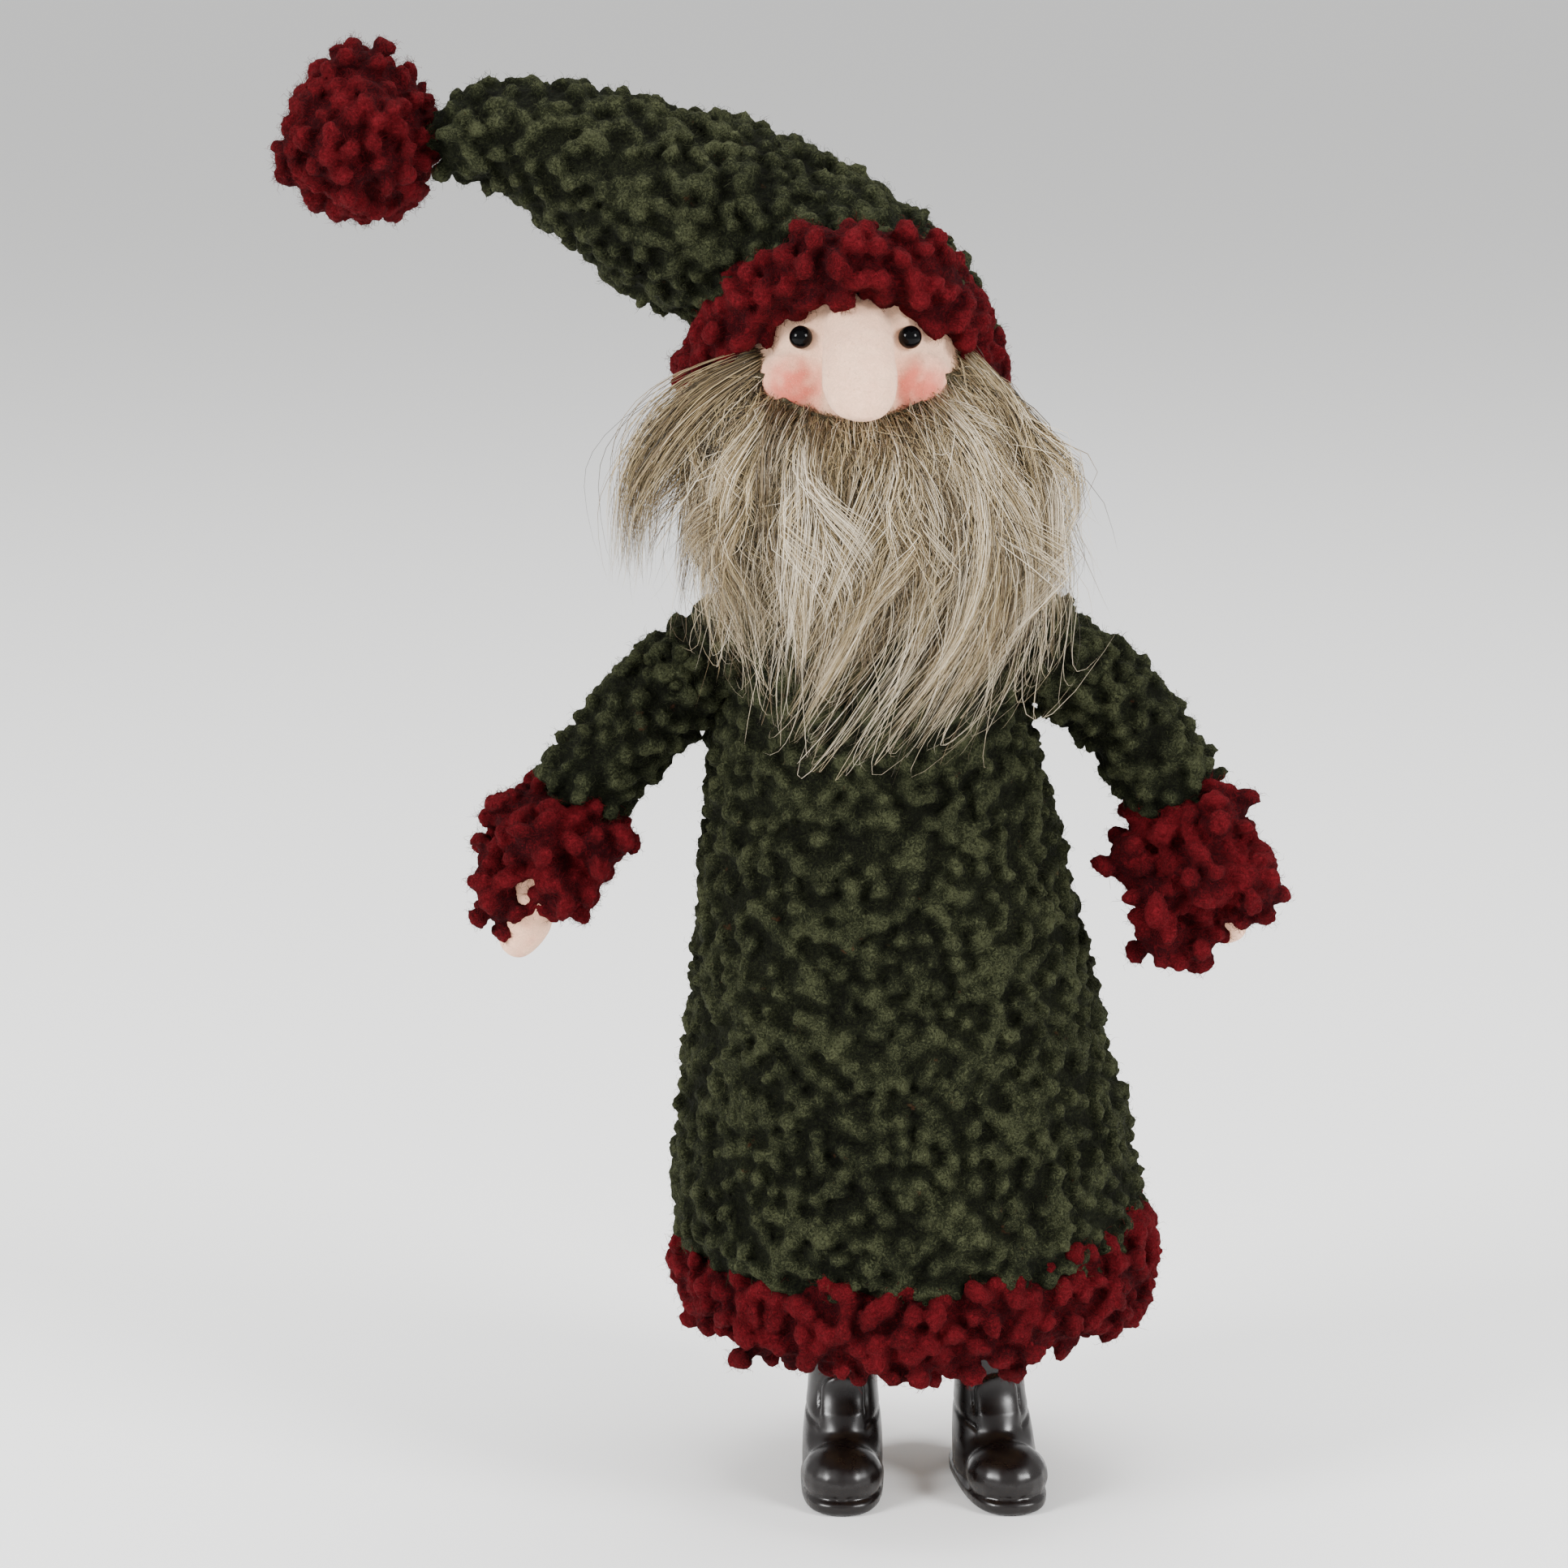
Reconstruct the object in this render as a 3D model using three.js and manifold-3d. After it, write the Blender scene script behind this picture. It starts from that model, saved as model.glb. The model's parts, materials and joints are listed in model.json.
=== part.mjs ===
import * as THREE from 'three'
import { mergeVertices } from 'three/addons/utils/BufferGeometryUtils.js'
import Module from 'manifold-3d'

// Tomte gnome figurine: stuffed bouclé coat and hat on a pair of moulded boots. Millimetres, +Z up.
// The face looks along -Y. "left" is the side at -X, where the hat's point hangs out.

// ---------------------------------------------------------------- driving dimensions
const GAP = 0.3                    // clearance left between neighbouring solids
const PIVOT_GAP = 0.4              // clearance round a bend that turns
const SIDES = 24                   // facets round the larger soft pieces
const FINE_SIDES = 16              // facets round the small ones

const HEM_BOTTOM_Z = 38            // floor to the lowest edge of the red hem
const HEM_TRIM_HEIGHT = 21
const HEM_TRIM_WALL = 6
const HEM_HALF_WIDTH = 51.5
const COAT_HEIGHT = 151            // from the top of the red hem to the neck
const COAT_WALL = 4
const SHOULDER_HALF_WIDTH = 30
const BODY_DEPTH_RATIO = 0.88      // front-to-back size over side-to-side size
const LEAN = 0.063                 // sideways lean to -X for each unit of height
const LEAN_START_Z = 36

const BASE_DISC_THICKNESS = 6
const BASE_DISC_Z = HEM_BOTTOM_Z + 8
const LEG_RADIUS = 2.5
const LEG_SPACING = 31             // between the two boots' centre lines
const LEG_IN_BOOT = 20

const BOOT_WIDTH = 16.7
const BOOT_LENGTH = 33
const BOOT_HEEL_Y = 10.5           // back of the heel behind the figure's middle plane
const BOOT_SHAFT_RADIUS = 7.2
const BOOT_TOP_Z = BASE_DISC_Z - 2
const SOLE_THICKNESS = 3.2
const SOLE_BEVEL = 0.6
const RIGHT_TOE_OUT = 10           // degrees
const LEFT_TOE_OUT = 1

const HEAD_RADIUS = 24
const HEAD_SINK = 6                // how far the head sits down into the coat's neck
const FACE_THICKNESS = 2
const FACE_HALF_WIDTH = 19
const FACE_HALF_HEIGHT = 12
const NOSE_HALF_WIDTH = 6.8
const NOSE_LENGTH = 22
const NOSE_REACH = 13              // how far the nose stands out of the face
const EYE_RADIUS = 2.3
const EYE_SPACING = 21.4
const EYE_RISE = 8.4               // above the head's centre

const HAT_WALL = 2.6
const HAT_CLEAR = 0.7              // hat lining to head
const HAT_TIP_Y = 5                // the hat's point lies slightly behind the middle plane
const HAT_TILT = 34                // degrees that the brim is tipped back
const BRIM_THICKNESS = 7
const BRIM_HEIGHT = 16
const POMPOM_RADIUS = 17.2
const POMPOM_HALF_HEIGHT = 19
const HAT_RANGE = [-35, 60]        // degrees: down, up

const SHOULDER_DROP = 29           // pivot below the coat's neck edge
const ARM_Y = -3                   // the arms hang slightly in front of the middle plane
const SLEEVE_RADIUS = 10
const SLEEVE_ELBOW_RADIUS = 9.5
const UPPER_ARM_LENGTH = 24.6
const FOREARM_LENGTH = 19
const UPPER_ARM_ANGLE = 51         // degrees from straight down, at rest
const FOREARM_ANGLE = { left: 42, right: 36 }
const CUFF_ANGLE = 20
const SHOULDER_RANGE = [-5, 40]   // degrees: down, up
const ELBOW_RANGE = [-3, 45]
const CUFF_RADIUS = 15
const CUFF_LENGTH = { left: 28, right: 34 }
const HAND_RADIUS = 5.4
const HAND_LENGTH = 30

const WIRE_RADIUS = 0.9
const WIRE_BORE = WIRE_RADIUS + GAP
const ARC_STEPS = 10               // chords along each arc of a bend's clearance

// ---------------------------------------------------------------- materials
function material(colour, roughness, metalness) {
  return new THREE.MeshStandardMaterial({ color: colour, roughness, metalness })
}

const MATERIALS = {
  green_boucle: () => material(0x2a2c1e, 0.9, 0),
  red_boucle: () => material(0x4c0f13, 0.9, 0),
  felt_skin: () => material(0xe8d5c8, 0.9, 0),
  bead: () => material(0x0c0c10, 0.25, 0),
  fur: () => material(0x9a8f7c, 0.9, 0),
  fur_backing: () => material(0x8a7f6b, 0.9, 0),
  wadding: () => material(0xe6e2d8, 0.9, 0),
  boot_plastic: () => material(0x251c1b, 0.25, 0),
  dowel_wood: () => material(0xb98d5c, 0.65, 0),
  disc_wood: () => material(0xa67c4e, 0.65, 0),
  wire: () => material(0x8c8f92, 0.4, 0.9),
}

// ---------------------------------------------------------------- solid helpers
const wasm = await Module()
wasm.setup()

function toSolid(geometry) {
  const plain = geometry.clone()
  plain.deleteAttribute('normal')
  plain.deleteAttribute('uv')
  const merged = mergeVertices(plain, 1e-4)
  return new wasm.Manifold(new wasm.Mesh({
    numProp: 3,
    vertProperties: new Float32Array(merged.attributes.position.array),
    triVerts: new Uint32Array(merged.index.array),
  }))
}

function toGeometry(solid) {
  const mesh = solid.getMesh()
  const geometry = new THREE.BufferGeometry()
  geometry.setAttribute('position', new THREE.BufferAttribute(new Float32Array(mesh.vertProperties), 3))
  geometry.setIndex(new THREE.BufferAttribute(new Uint32Array(mesh.triVerts), 1))
  geometry.computeVertexNormals()
  return geometry
}

function cut(body, ...tools) {
  return tools.reduce((left, tool) => left.subtract(tool), body)
}

function join(body, ...others) {
  return others.reduce((sum, other) => sum.add(other), body)
}

function common(body, tool) {
  return body.intersect(tool)
}

function radians(degrees) {
  return THREE.MathUtils.degToRad(degrees)
}

function point(x, y, z) {
  return new THREE.Vector3(x, y, z)
}

// A closed skin through elliptical rings. Each ring has a centre, two half sizes, the way it faces, and
// a tilt in degrees that raises its front edge.
function loft(rings, sides = SIDES) {
  const skin = new THREE.CylinderGeometry(1, 1, 1, sides, rings.length - 1, false)
  const spots = skin.attributes.position
  const across = point(0, 1, 0)
  for (let i = 0; i < spots.count; i += 1) {
    const ring = rings[Math.round((spots.getY(i) + 0.5) * (rings.length - 1))]
    const facing = ring.facing.clone().normalize()
    const side = across.clone().cross(facing).normalize()
    const fore = facing.clone().cross(side)
    fore.applyAxisAngle(side, -radians(ring.tilt ?? 0))
    const spot = ring.centre.clone()
      .addScaledVector(side, ring.halfWidth * spots.getX(i))
      .addScaledVector(fore, -ring.halfDepth * spots.getZ(i))
    spots.setXYZ(i, spot.x, spot.y, spot.z)
  }
  return toSolid(skin)
}

function ring(centre, halfWidth, halfDepth, facing = point(0, 0, 1), tilt = 0) {
  return { centre, halfWidth, halfDepth, facing, tilt }
}

function grown(rings, by) {
  return rings.map((r) => ({ ...r, halfWidth: r.halfWidth + by, halfDepth: r.halfDepth + by }))
}

function ball(centre, radius, stretch = point(1, 1, 1), sides = SIDES) {
  const geometry = new THREE.SphereGeometry(radius, sides, Math.round(sides * 0.7))
  geometry.scale(stretch.x, stretch.y, stretch.z)
  geometry.translate(centre.x, centre.y, centre.z)
  return toSolid(geometry)
}

function turnedTo(geometry, start, end) {
  const direction = end.clone().sub(start)
  const middle = start.clone().add(end).multiplyScalar(0.5)
  const turn = new THREE.Quaternion().setFromUnitVectors(point(0, 1, 0), direction.clone().normalize())
  geometry.applyQuaternion(turn)
  geometry.translate(middle.x, middle.y, middle.z)
  return toSolid(geometry)
}

function rod(start, end, radius, sides = FINE_SIDES) {
  const length = start.distanceTo(end)
  return turnedTo(new THREE.CylinderGeometry(radius, radius, length, sides), start, end)
}

function capsule(start, end, radius, sides = FINE_SIDES) {
  return turnedTo(new THREE.CapsuleGeometry(radius, start.distanceTo(end), 4, sides), start, end)
}

function slab(low, high) {
  const size = high.clone().sub(low)
  const middle = high.clone().add(low).multiplyScalar(0.5)
  const geometry = new THREE.BoxGeometry(size.x, size.y, size.z)
  geometry.translate(middle.x, middle.y, middle.z)
  return toSolid(geometry)
}

function aboutPivot(spot, pivot, degrees) {
  return spot.clone().sub(pivot).applyAxisAngle(point(0, 1, 0), radians(degrees)).add(pivot)
}

// The room that a limb needs over its whole swing in the XZ plane: a fan with a round back, as deep as
// the limb is thick. raise is the sign of the turn about +Y that lifts the limb.
function swingRoom(pivot, end, radius, range, raise, halfDepth = radius) {
  const reach = pivot.distanceTo(end)
  const along = (degrees) => aboutPivot(end, pivot, raise * degrees).sub(pivot).normalize()
  const lowEdge = along(range[0] - 90).multiplyScalar(radius)
  const highEdge = along(range[1] + 90).multiplyScalar(radius)
  const spots = [lowEdge.clone(), lowEdge.clone().addScaledVector(along(range[0]), reach)]
  for (let i = 0; i <= ARC_STEPS; i += 1) {
    spots.push(along(THREE.MathUtils.lerp(range[0], range[1], i / ARC_STEPS)).multiplyScalar(reach + radius))
  }
  spots.push(highEdge.clone().addScaledVector(along(range[1]), reach), highEdge.clone())
  for (let i = 1; i < ARC_STEPS; i += 1) {
    const turn = THREE.MathUtils.lerp(range[1] + 90, range[0] + 270, i / ARC_STEPS)
    spots.push(along(turn).multiplyScalar(radius / Math.cos(Math.PI / (2 * ARC_STEPS))))
  }
  const outline = new THREE.Shape(spots.map((spot) => new THREE.Vector2(spot.x, spot.z)))
  const fan = new THREE.ExtrudeGeometry(outline, { depth: 2 * halfDepth, bevelEnabled: false })
  fan.rotateX(Math.PI / 2)
  fan.translate(pivot.x, pivot.y + halfDepth, pivot.z)
  return toSolid(fan)
}

// ---------------------------------------------------------------- shared levels and positions
const group = new THREE.Group()
group.name = 'tomte_gnome'

function addNode(name, solid, slot) {
  const mesh = new THREE.Mesh(toGeometry(solid), MATERIALS[slot]())
  mesh.name = name
  mesh.material.name = slot
  group.add(mesh)
}

function leanX(z) {
  return -LEAN * (z - LEAN_START_Z)
}

const trimTopZ = HEM_BOTTOM_Z + HEM_TRIM_HEIGHT
const coatBottomZ = trimTopZ + GAP
const neckZ = trimTopZ + COAT_HEIGHT
const shoulderZ = neckZ - SHOULDER_DROP
const discTopZ = BASE_DISC_Z + BASE_DISC_THICKNESS
const headCentre = point(leanX(neckZ) - 3, 0, neckZ + HEAD_RADIUS - HEAD_SINK + 8)
const faceRadius = HEAD_RADIUS + GAP + FACE_THICKNESS

function bodyHalfWidth(z) {
  const share = (z - coatBottomZ) / (shoulderZ - coatBottomZ)
  return THREE.MathUtils.lerp(HEM_HALF_WIDTH, SHOULDER_HALF_WIDTH, share)
}

function bodyRing(z, halfWidth) {
  return ring(point(leanX(z), 0, z), halfWidth, halfWidth * BODY_DEPTH_RATIO)
}

// ---------------------------------------------------------------- boots, legs and base
function soleOutline() {
  const toeRadius = BOOT_WIDTH / 2
  const heelRadius = BOOT_WIDTH * 0.41
  const outline = new THREE.Shape()
  const toeCentreY = BOOT_HEEL_Y - BOOT_LENGTH + toeRadius
  outline.absarc(0, toeCentreY, toeRadius - SOLE_BEVEL, Math.PI, 2 * Math.PI, false)
  outline.absarc(0, BOOT_HEEL_Y - heelRadius, heelRadius - SOLE_BEVEL, 0, Math.PI, false)
  outline.closePath()
  return outline
}

function bootSolid() {
  const toeRadius = BOOT_WIDTH / 2
  const middleY = BOOT_HEEL_Y - BOOT_LENGTH / 2
  const sole = new THREE.ExtrudeGeometry(soleOutline(), {
    depth: SOLE_THICKNESS - 2 * SOLE_BEVEL,
    bevelThickness: SOLE_BEVEL,
    bevelSize: SOLE_BEVEL,
    bevelSegments: 1,
    curveSegments: 10,
  })
  sole.translate(0, 0, SOLE_BEVEL)
  const shaft = BOOT_SHAFT_RADIUS
  const upper = loft([
    ring(point(0, middleY, SOLE_THICKNESS - 1), toeRadius - 1, BOOT_LENGTH / 2 - 1),
    ring(point(0, middleY, SOLE_THICKNESS + 4), toeRadius - 0.6, BOOT_LENGTH / 2 - 1.2),
    ring(point(0, middleY + 1.5, SOLE_THICKNESS + 9), toeRadius - 0.9, BOOT_LENGTH / 2 - 2.8),
    ring(point(0, middleY + 4.5, SOLE_THICKNESS + 13), shaft + 0.2, BOOT_LENGTH / 2 - 6),
    ring(point(0, middleY + 7.3, SOLE_THICKNESS + 17.5), shaft, shaft + 1.3),
    ring(point(0, middleY + 8.2, SOLE_THICKNESS + 24), shaft, shaft + 0.3),
    ring(point(0, middleY + 8.4, BOOT_TOP_Z), shaft + 0.3, shaft + 0.5),
  ])
  const toe = ball(
    point(0, BOOT_HEEL_Y - BOOT_LENGTH + toeRadius, SOLE_THICKNESS + 5),
    toeRadius - 0.2,
    point(1, 0.98, 0.95),
    FINE_SIDES,
  )
  const aboveFloor = slab(point(-50, -50, 0.5), point(50, 50, BOOT_TOP_Z))
  return join(toSolid(sole), upper, common(toe, aboveFloor))
}

const SIDE_SIGN = { left: -1, right: 1 }
const TOE_OUT = { left: LEFT_TOE_OUT, right: RIGHT_TOE_OUT }
const legs = {}

for (const side of ['left', 'right']) {
  const x = SIDE_SIGN[side] * LEG_SPACING / 2
  const legY = BOOT_HEEL_Y - BOOT_LENGTH / 2 + 8.4
  legs[side] = { low: point(x, legY, BOOT_TOP_Z - LEG_IN_BOOT), high: point(x, legY, discTopZ) }
  const bore = rod(
    legs[side].low.clone().setZ(legs[side].low.z - GAP),
    point(x, legY, BOOT_TOP_Z + 1),
    LEG_RADIUS + GAP,
  )
  const boot = bootSolid()
    .translate([0, -legY, 0])
    .rotate([0, 0, SIDE_SIGN[side] * TOE_OUT[side]])
    .translate([x, legY, 0])
  addNode(`boot_${side}`, cut(boot, bore), 'boot_plastic')
  addNode(`leg_dowel_${side}`, rod(legs[side].low, legs[side].high, LEG_RADIUS), 'dowel_wood')
}

const legHoles = ['left', 'right'].map((side) => rod(
  legs[side].high.clone().setZ(BASE_DISC_Z - 1),
  legs[side].high.clone().setZ(discTopZ + 1),
  LEG_RADIUS + GAP,
))
const discHalfWidth = HEM_HALF_WIDTH - HEM_TRIM_WALL - GAP
const disc = loft([bodyRing(BASE_DISC_Z, discHalfWidth), bodyRing(discTopZ, discHalfWidth)])
addNode('base_disc', cut(disc, ...legHoles), 'disc_wood')

// ---------------------------------------------------------------- arms
const arms = {}

function armPoint(from, angle, length, side) {
  return from.clone().add(point(
    SIDE_SIGN[side] * length * Math.sin(radians(angle)),
    0,
    -length * Math.cos(radians(angle)),
  ))
}

for (const side of ['left', 'right']) {
  const raise = -SIDE_SIGN[side]
  const shoulder = point(leanX(shoulderZ) + 1.5 + SIDE_SIGN[side] * SHOULDER_HALF_WIDTH, ARM_Y, shoulderZ)
  const elbow = armPoint(shoulder, UPPER_ARM_ANGLE, UPPER_ARM_LENGTH, side)
  const wrist = armPoint(elbow, FOREARM_ANGLE[side], FOREARM_LENGTH, side)
  const cuffTop = armPoint(wrist, CUFF_ANGLE, GAP, side)
  const cuffEnd = armPoint(wrist, CUFF_ANGLE, CUFF_LENGTH[side], side)
  const handEnd = armPoint(wrist, CUFF_ANGLE, HAND_LENGTH + 5, side)
  const upperRoom = swingRoom(shoulder, elbow, SLEEVE_RADIUS + PIVOT_GAP, SHOULDER_RANGE, raise)
  arms[side] = { shoulder, elbow, wrist, cuffTop, cuffEnd, handEnd, raise, upperRoom }
}

for (const side of ['left', 'right']) {
  const arm = arms[side]
  const forearmRoom = swingRoom(
    arm.elbow,
    arm.wrist,
    SLEEVE_ELBOW_RADIUS + PIVOT_GAP,
    ELBOW_RANGE,
    arm.raise,
  )
  const upperAxis = arm.elbow.clone().sub(arm.shoulder).normalize()
  const upperSleeve = join(
    ball(arm.shoulder, SLEEVE_RADIUS, point(1, 1, 1), FINE_SIDES),
    rod(arm.shoulder, arm.elbow, SLEEVE_RADIUS),
  )
  const upperBore = rod(arm.shoulder.clone().addScaledVector(upperAxis, -20), arm.elbow, WIRE_BORE, 12)
  addNode(`sleeve_upper_${side}`, cut(upperSleeve, forearmRoom, upperBore), 'green_boucle')
  const upperWireEnd = arm.elbow.clone().addScaledVector(upperAxis, -SLEEVE_ELBOW_RADIUS - 1)
  addNode(`arm_wire_upper_${side}`, rod(arm.shoulder, upperWireEnd, WIRE_RADIUS, 12), 'wire')

  const lowerAxis = arm.wrist.clone().sub(arm.elbow).normalize()
  const lowerSleeve = join(
    ball(arm.elbow, SLEEVE_ELBOW_RADIUS, point(1, 1, 1), FINE_SIDES),
    rod(arm.elbow, arm.wrist, SLEEVE_ELBOW_RADIUS),
  )
  const cuffAxis = arm.cuffEnd.clone().sub(arm.cuffTop).normalize()
  const cuffLength = arm.cuffTop.distanceTo(arm.cuffEnd)
  const cuffStations = [[0, 0.7], [0.18, 0.95], [0.4, 1], [0.7, 0.98], [0.9, 0.82], [1, 0.6]]
  const cuffRings = cuffStations.map(([along, size]) => ring(
    arm.cuffTop.clone().addScaledVector(cuffAxis, along * cuffLength),
    CUFF_RADIUS * size,
    CUFF_RADIUS * size,
    cuffAxis,
  ))
  const handTop = arm.cuffTop.clone().addScaledVector(cuffAxis, HAND_RADIUS + 2)
  const handBottom = arm.handEnd.clone().addScaledVector(cuffAxis, -HAND_RADIUS)
  const handRoom = capsule(handTop, handBottom.clone().addScaledVector(cuffAxis, 20), HAND_RADIUS + GAP)
  const wireTop = arm.elbow.clone().addScaledVector(lowerAxis, -2)
  const wireRoom = join(
    rod(arm.elbow.clone().addScaledVector(lowerAxis, -20), arm.wrist, WIRE_BORE, 12),
    ball(arm.wrist, WIRE_BORE, point(1, 1, 1), 12),
    rod(arm.wrist, handBottom, WIRE_BORE, 12),
  )
  const wire = join(
    rod(wireTop, arm.wrist, WIRE_RADIUS, 12),
    ball(arm.wrist, WIRE_RADIUS, point(1, 1, 1), 12),
    rod(arm.wrist, handBottom.clone().addScaledVector(cuffAxis, -1), WIRE_RADIUS, 12),
  )
  const cuffSolid = cut(loft(cuffRings, 24), handRoom, wireRoom)
  const aboveCuff = loft([
    ring(arm.cuffTop.clone().addScaledVector(cuffAxis, -GAP), 40, 40, cuffAxis),
    ring(arm.cuffTop.clone().addScaledVector(cuffAxis, 60), 40, 40, cuffAxis),
  ], 12)
  addNode(`sleeve_lower_${side}`, cut(lowerSleeve, wireRoom, aboveCuff), 'green_boucle')
  addNode(`arm_wire_lower_${side}`, wire, 'wire')
  addNode(`cuff_${side}`, cuffSolid, 'red_boucle')
  addNode(`hand_${side}`, cut(capsule(handTop, handBottom, HAND_RADIUS), wireRoom), 'felt_skin')
}

// ---------------------------------------------------------------- coat, hem and body wadding
const head = ball(headCentre, HEAD_RADIUS)
const headRoom = ball(headCentre, HEAD_RADIUS + GAP)

function coatRings(inset) {
  const rings = [0, 0.25, 0.5, 0.75, 1].map((share) => {
    const z = THREE.MathUtils.lerp(coatBottomZ, shoulderZ, share)
    return bodyRing(z, bodyHalfWidth(z) - inset)
  })
  const yokeTop = neckZ + HEAD_RADIUS * 0.3 - inset
  rings.push(bodyRing(THREE.MathUtils.lerp(shoulderZ, yokeTop, 0.4), SHOULDER_HALF_WIDTH * 0.93 - inset))
  rings.push(bodyRing(THREE.MathUtils.lerp(shoulderZ, yokeTop, 0.75), SHOULDER_HALF_WIDTH * 0.78 - inset))
  rings.push(bodyRing(yokeTop, SHOULDER_HALF_WIDTH * 0.6 - inset))
  return rings
}

const armRooms = [arms.left.upperRoom, arms.right.upperRoom]
const coatOuter = coatRings(0)
const coatInner = coatRings(COAT_WALL)
coatInner.unshift(bodyRing(coatBottomZ - 1, coatInner[0].halfWidth))
const wireEnds = ['left', 'right'].map((side) => (
  arms[side].shoulder.clone().setX(arms[side].shoulder.x - SIDE_SIGN[side] * (SLEEVE_RADIUS + 1))
))
const shoulderWireRoom = rod(
  wireEnds[0].clone().setX(wireEnds[0].x - 2),
  wireEnds[1].clone().setX(wireEnds[1].x + 2),
  WIRE_BORE,
  12,
)

function socketSwings(extra) {
  const radius = SLEEVE_RADIUS + PIVOT_GAP + extra
  return Object.values(arms).map((arm) => (
    swingRoom(arm.shoulder, arm.elbow, radius, SHOULDER_RANGE, arm.raise)
  ))
}

const coatLining = cut(loft(coatInner), ...socketSwings(COAT_WALL))
const coat = cut(loft(coatOuter), coatLining, ...armRooms, headRoom, shoulderWireRoom)
addNode('coat', coat, 'green_boucle')
addNode('shoulder_wire', rod(wireEnds[0], wireEnds[1], WIRE_RADIUS, 12), 'wire')

const stuffingRings = coatRings(COAT_WALL + GAP)
stuffingRings[0] = bodyRing(coatBottomZ + GAP, stuffingRings[0].halfWidth)
stuffingRings.unshift(bodyRing(discTopZ + GAP, discHalfWidth), bodyRing(coatBottomZ, discHalfWidth))
const neckSeat = ball(headCentre, HEAD_RADIUS + GAP + COAT_WALL)
const bodyWadding = cut(
  loft(stuffingRings),
  ...socketSwings(COAT_WALL + GAP),
  neckSeat,
  shoulderWireRoom,
)
addNode('body_wadding', bodyWadding, 'wadding')

const trimLevels = [[0, -2.5], [0.2, -0.4], [0.55, 0.6], [1, 0]]
const trimOuter = trimLevels.map(([share, out]) => bodyRing(
  THREE.MathUtils.lerp(HEM_BOTTOM_Z, trimTopZ, share),
  HEM_HALF_WIDTH + out,
))
const trimInner = [
  bodyRing(HEM_BOTTOM_Z - 1, HEM_HALF_WIDTH - HEM_TRIM_WALL),
  bodyRing(trimTopZ + 1, HEM_HALF_WIDTH - HEM_TRIM_WALL),
]
addNode('hem_trim', cut(loft(trimOuter), loft(trimInner)), 'red_boucle')

// ---------------------------------------------------------------- head, face, nose and eyes
const faceCentreZ = headCentre.z + HEAD_RADIUS * 0.15
const eyes = ['left', 'right'].map((side) => {
  const x = headCentre.x + SIDE_SIGN[side] * EYE_SPACING / 2
  const z = headCentre.z + EYE_RISE
  const reach = Math.sqrt(faceRadius ** 2 - (EYE_SPACING / 2) ** 2 - EYE_RISE ** 2)
  return { side, centre: point(x, headCentre.y - reach, z) }
})
const eyeRooms = eyes.map((eye) => ball(eye.centre, EYE_RADIUS + 0.15, point(1, 1, 1), 16))
const faceWindow = new THREE.CylinderGeometry(1, 1, 2 * HEAD_RADIUS, SIDES)
faceWindow.scale(FACE_HALF_WIDTH, 1, FACE_HALF_HEIGHT)
faceWindow.translate(headCentre.x, headCentre.y - HEAD_RADIUS, faceCentreZ)
const faceSkin = cut(ball(headCentre, faceRadius), headRoom)
addNode('face_felt', cut(common(faceSkin, toSolid(faceWindow)), ...eyeRooms), 'felt_skin')
eyes.forEach((eye) => addNode(`eye_${eye.side}`, ball(eye.centre, EYE_RADIUS, point(1, 1, 1), 16), 'bead'))

// share of the nose's length, share of its width, share of its reach
const noseLevels = [
  [0, 0.45, 0.42],
  [0.08, 0.8, 0.8],
  [0.22, 1, 1],
  [0.45, 0.98, 0.9],
  [0.75, 0.9, 0.55],
  [1, 0.7, 0.25],
]
const noseBottomZ = faceCentreZ - FACE_HALF_HEIGHT + 0.5
const noseRings = noseLevels.map(([share, wide, deep]) => ring(
  point(headCentre.x, headCentre.y - faceRadius + 3, noseBottomZ + share * NOSE_LENGTH),
  NOSE_HALF_WIDTH * wide,
  (NOSE_REACH + 3) * deep,
))
const noseFront = slab(
  point(headCentre.x - 20, headCentre.y - 80, noseBottomZ - 5),
  point(headCentre.x + 20, headCentre.y - faceRadius * 0.6, noseBottomZ + 60),
)
const faceRoom = ball(headCentre, faceRadius + GAP)
const nose = cut(common(loft(noseRings, 24), noseFront), faceRoom)
addNode('nose', nose, 'felt_skin')

// ---------------------------------------------------------------- hat
// Outline of the hat seen from the front, as pairs of edge points that face each other across it:
// the inner (lower left) edge and the outer (upper right) edge, in head radii from the head's centre.
const HAT_EDGES = [
  { inner: [-1.17, 0.17], outer: [1.17, 0.17], tilt: HAT_TILT, forward: 0 },
  { inner: [-1.2, 0.24], outer: [1.08, 0.66], tilt: 30, forward: 0.15 },
  { inner: [-1.24, 0.33], outer: [0.7, 1.1], tilt: 22, forward: 0.3 },
  { inner: [-1.33, 0.42], outer: [0.17, 1.55], tilt: 8, forward: 0.6 },
  { inner: [-1.54, 0.45], outer: [-0.42, 1.83], tilt: 0, forward: 0.9 },
  { inner: [-1.81, 0.55], outer: [-1.0, 2.0], tilt: 0, forward: 1 },
  { inner: [-2.08, 0.7], outer: [-1.58, 2.15], tilt: 0, forward: 1 },
  { inner: [-2.36, 0.94], outer: [-2.16, 2.26], tilt: 0, forward: 1 },
  { inner: [-2.62, 1.1], outer: [-2.62, 2.34], tilt: 0, forward: 1 },
  { inner: [-2.91, 1.32], outer: [-2.99, 2.33], tilt: 0, forward: 1 },
  { inner: [-3.2, 1.49], outer: [-3.28, 2.29], tilt: 0, forward: 1 },
  { inner: [-3.42, 1.58], outer: [-3.46, 2.16], tilt: 0, forward: 1 },
]
const BEND_EDGE = 6                // the hat's wire bends at this pair

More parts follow.
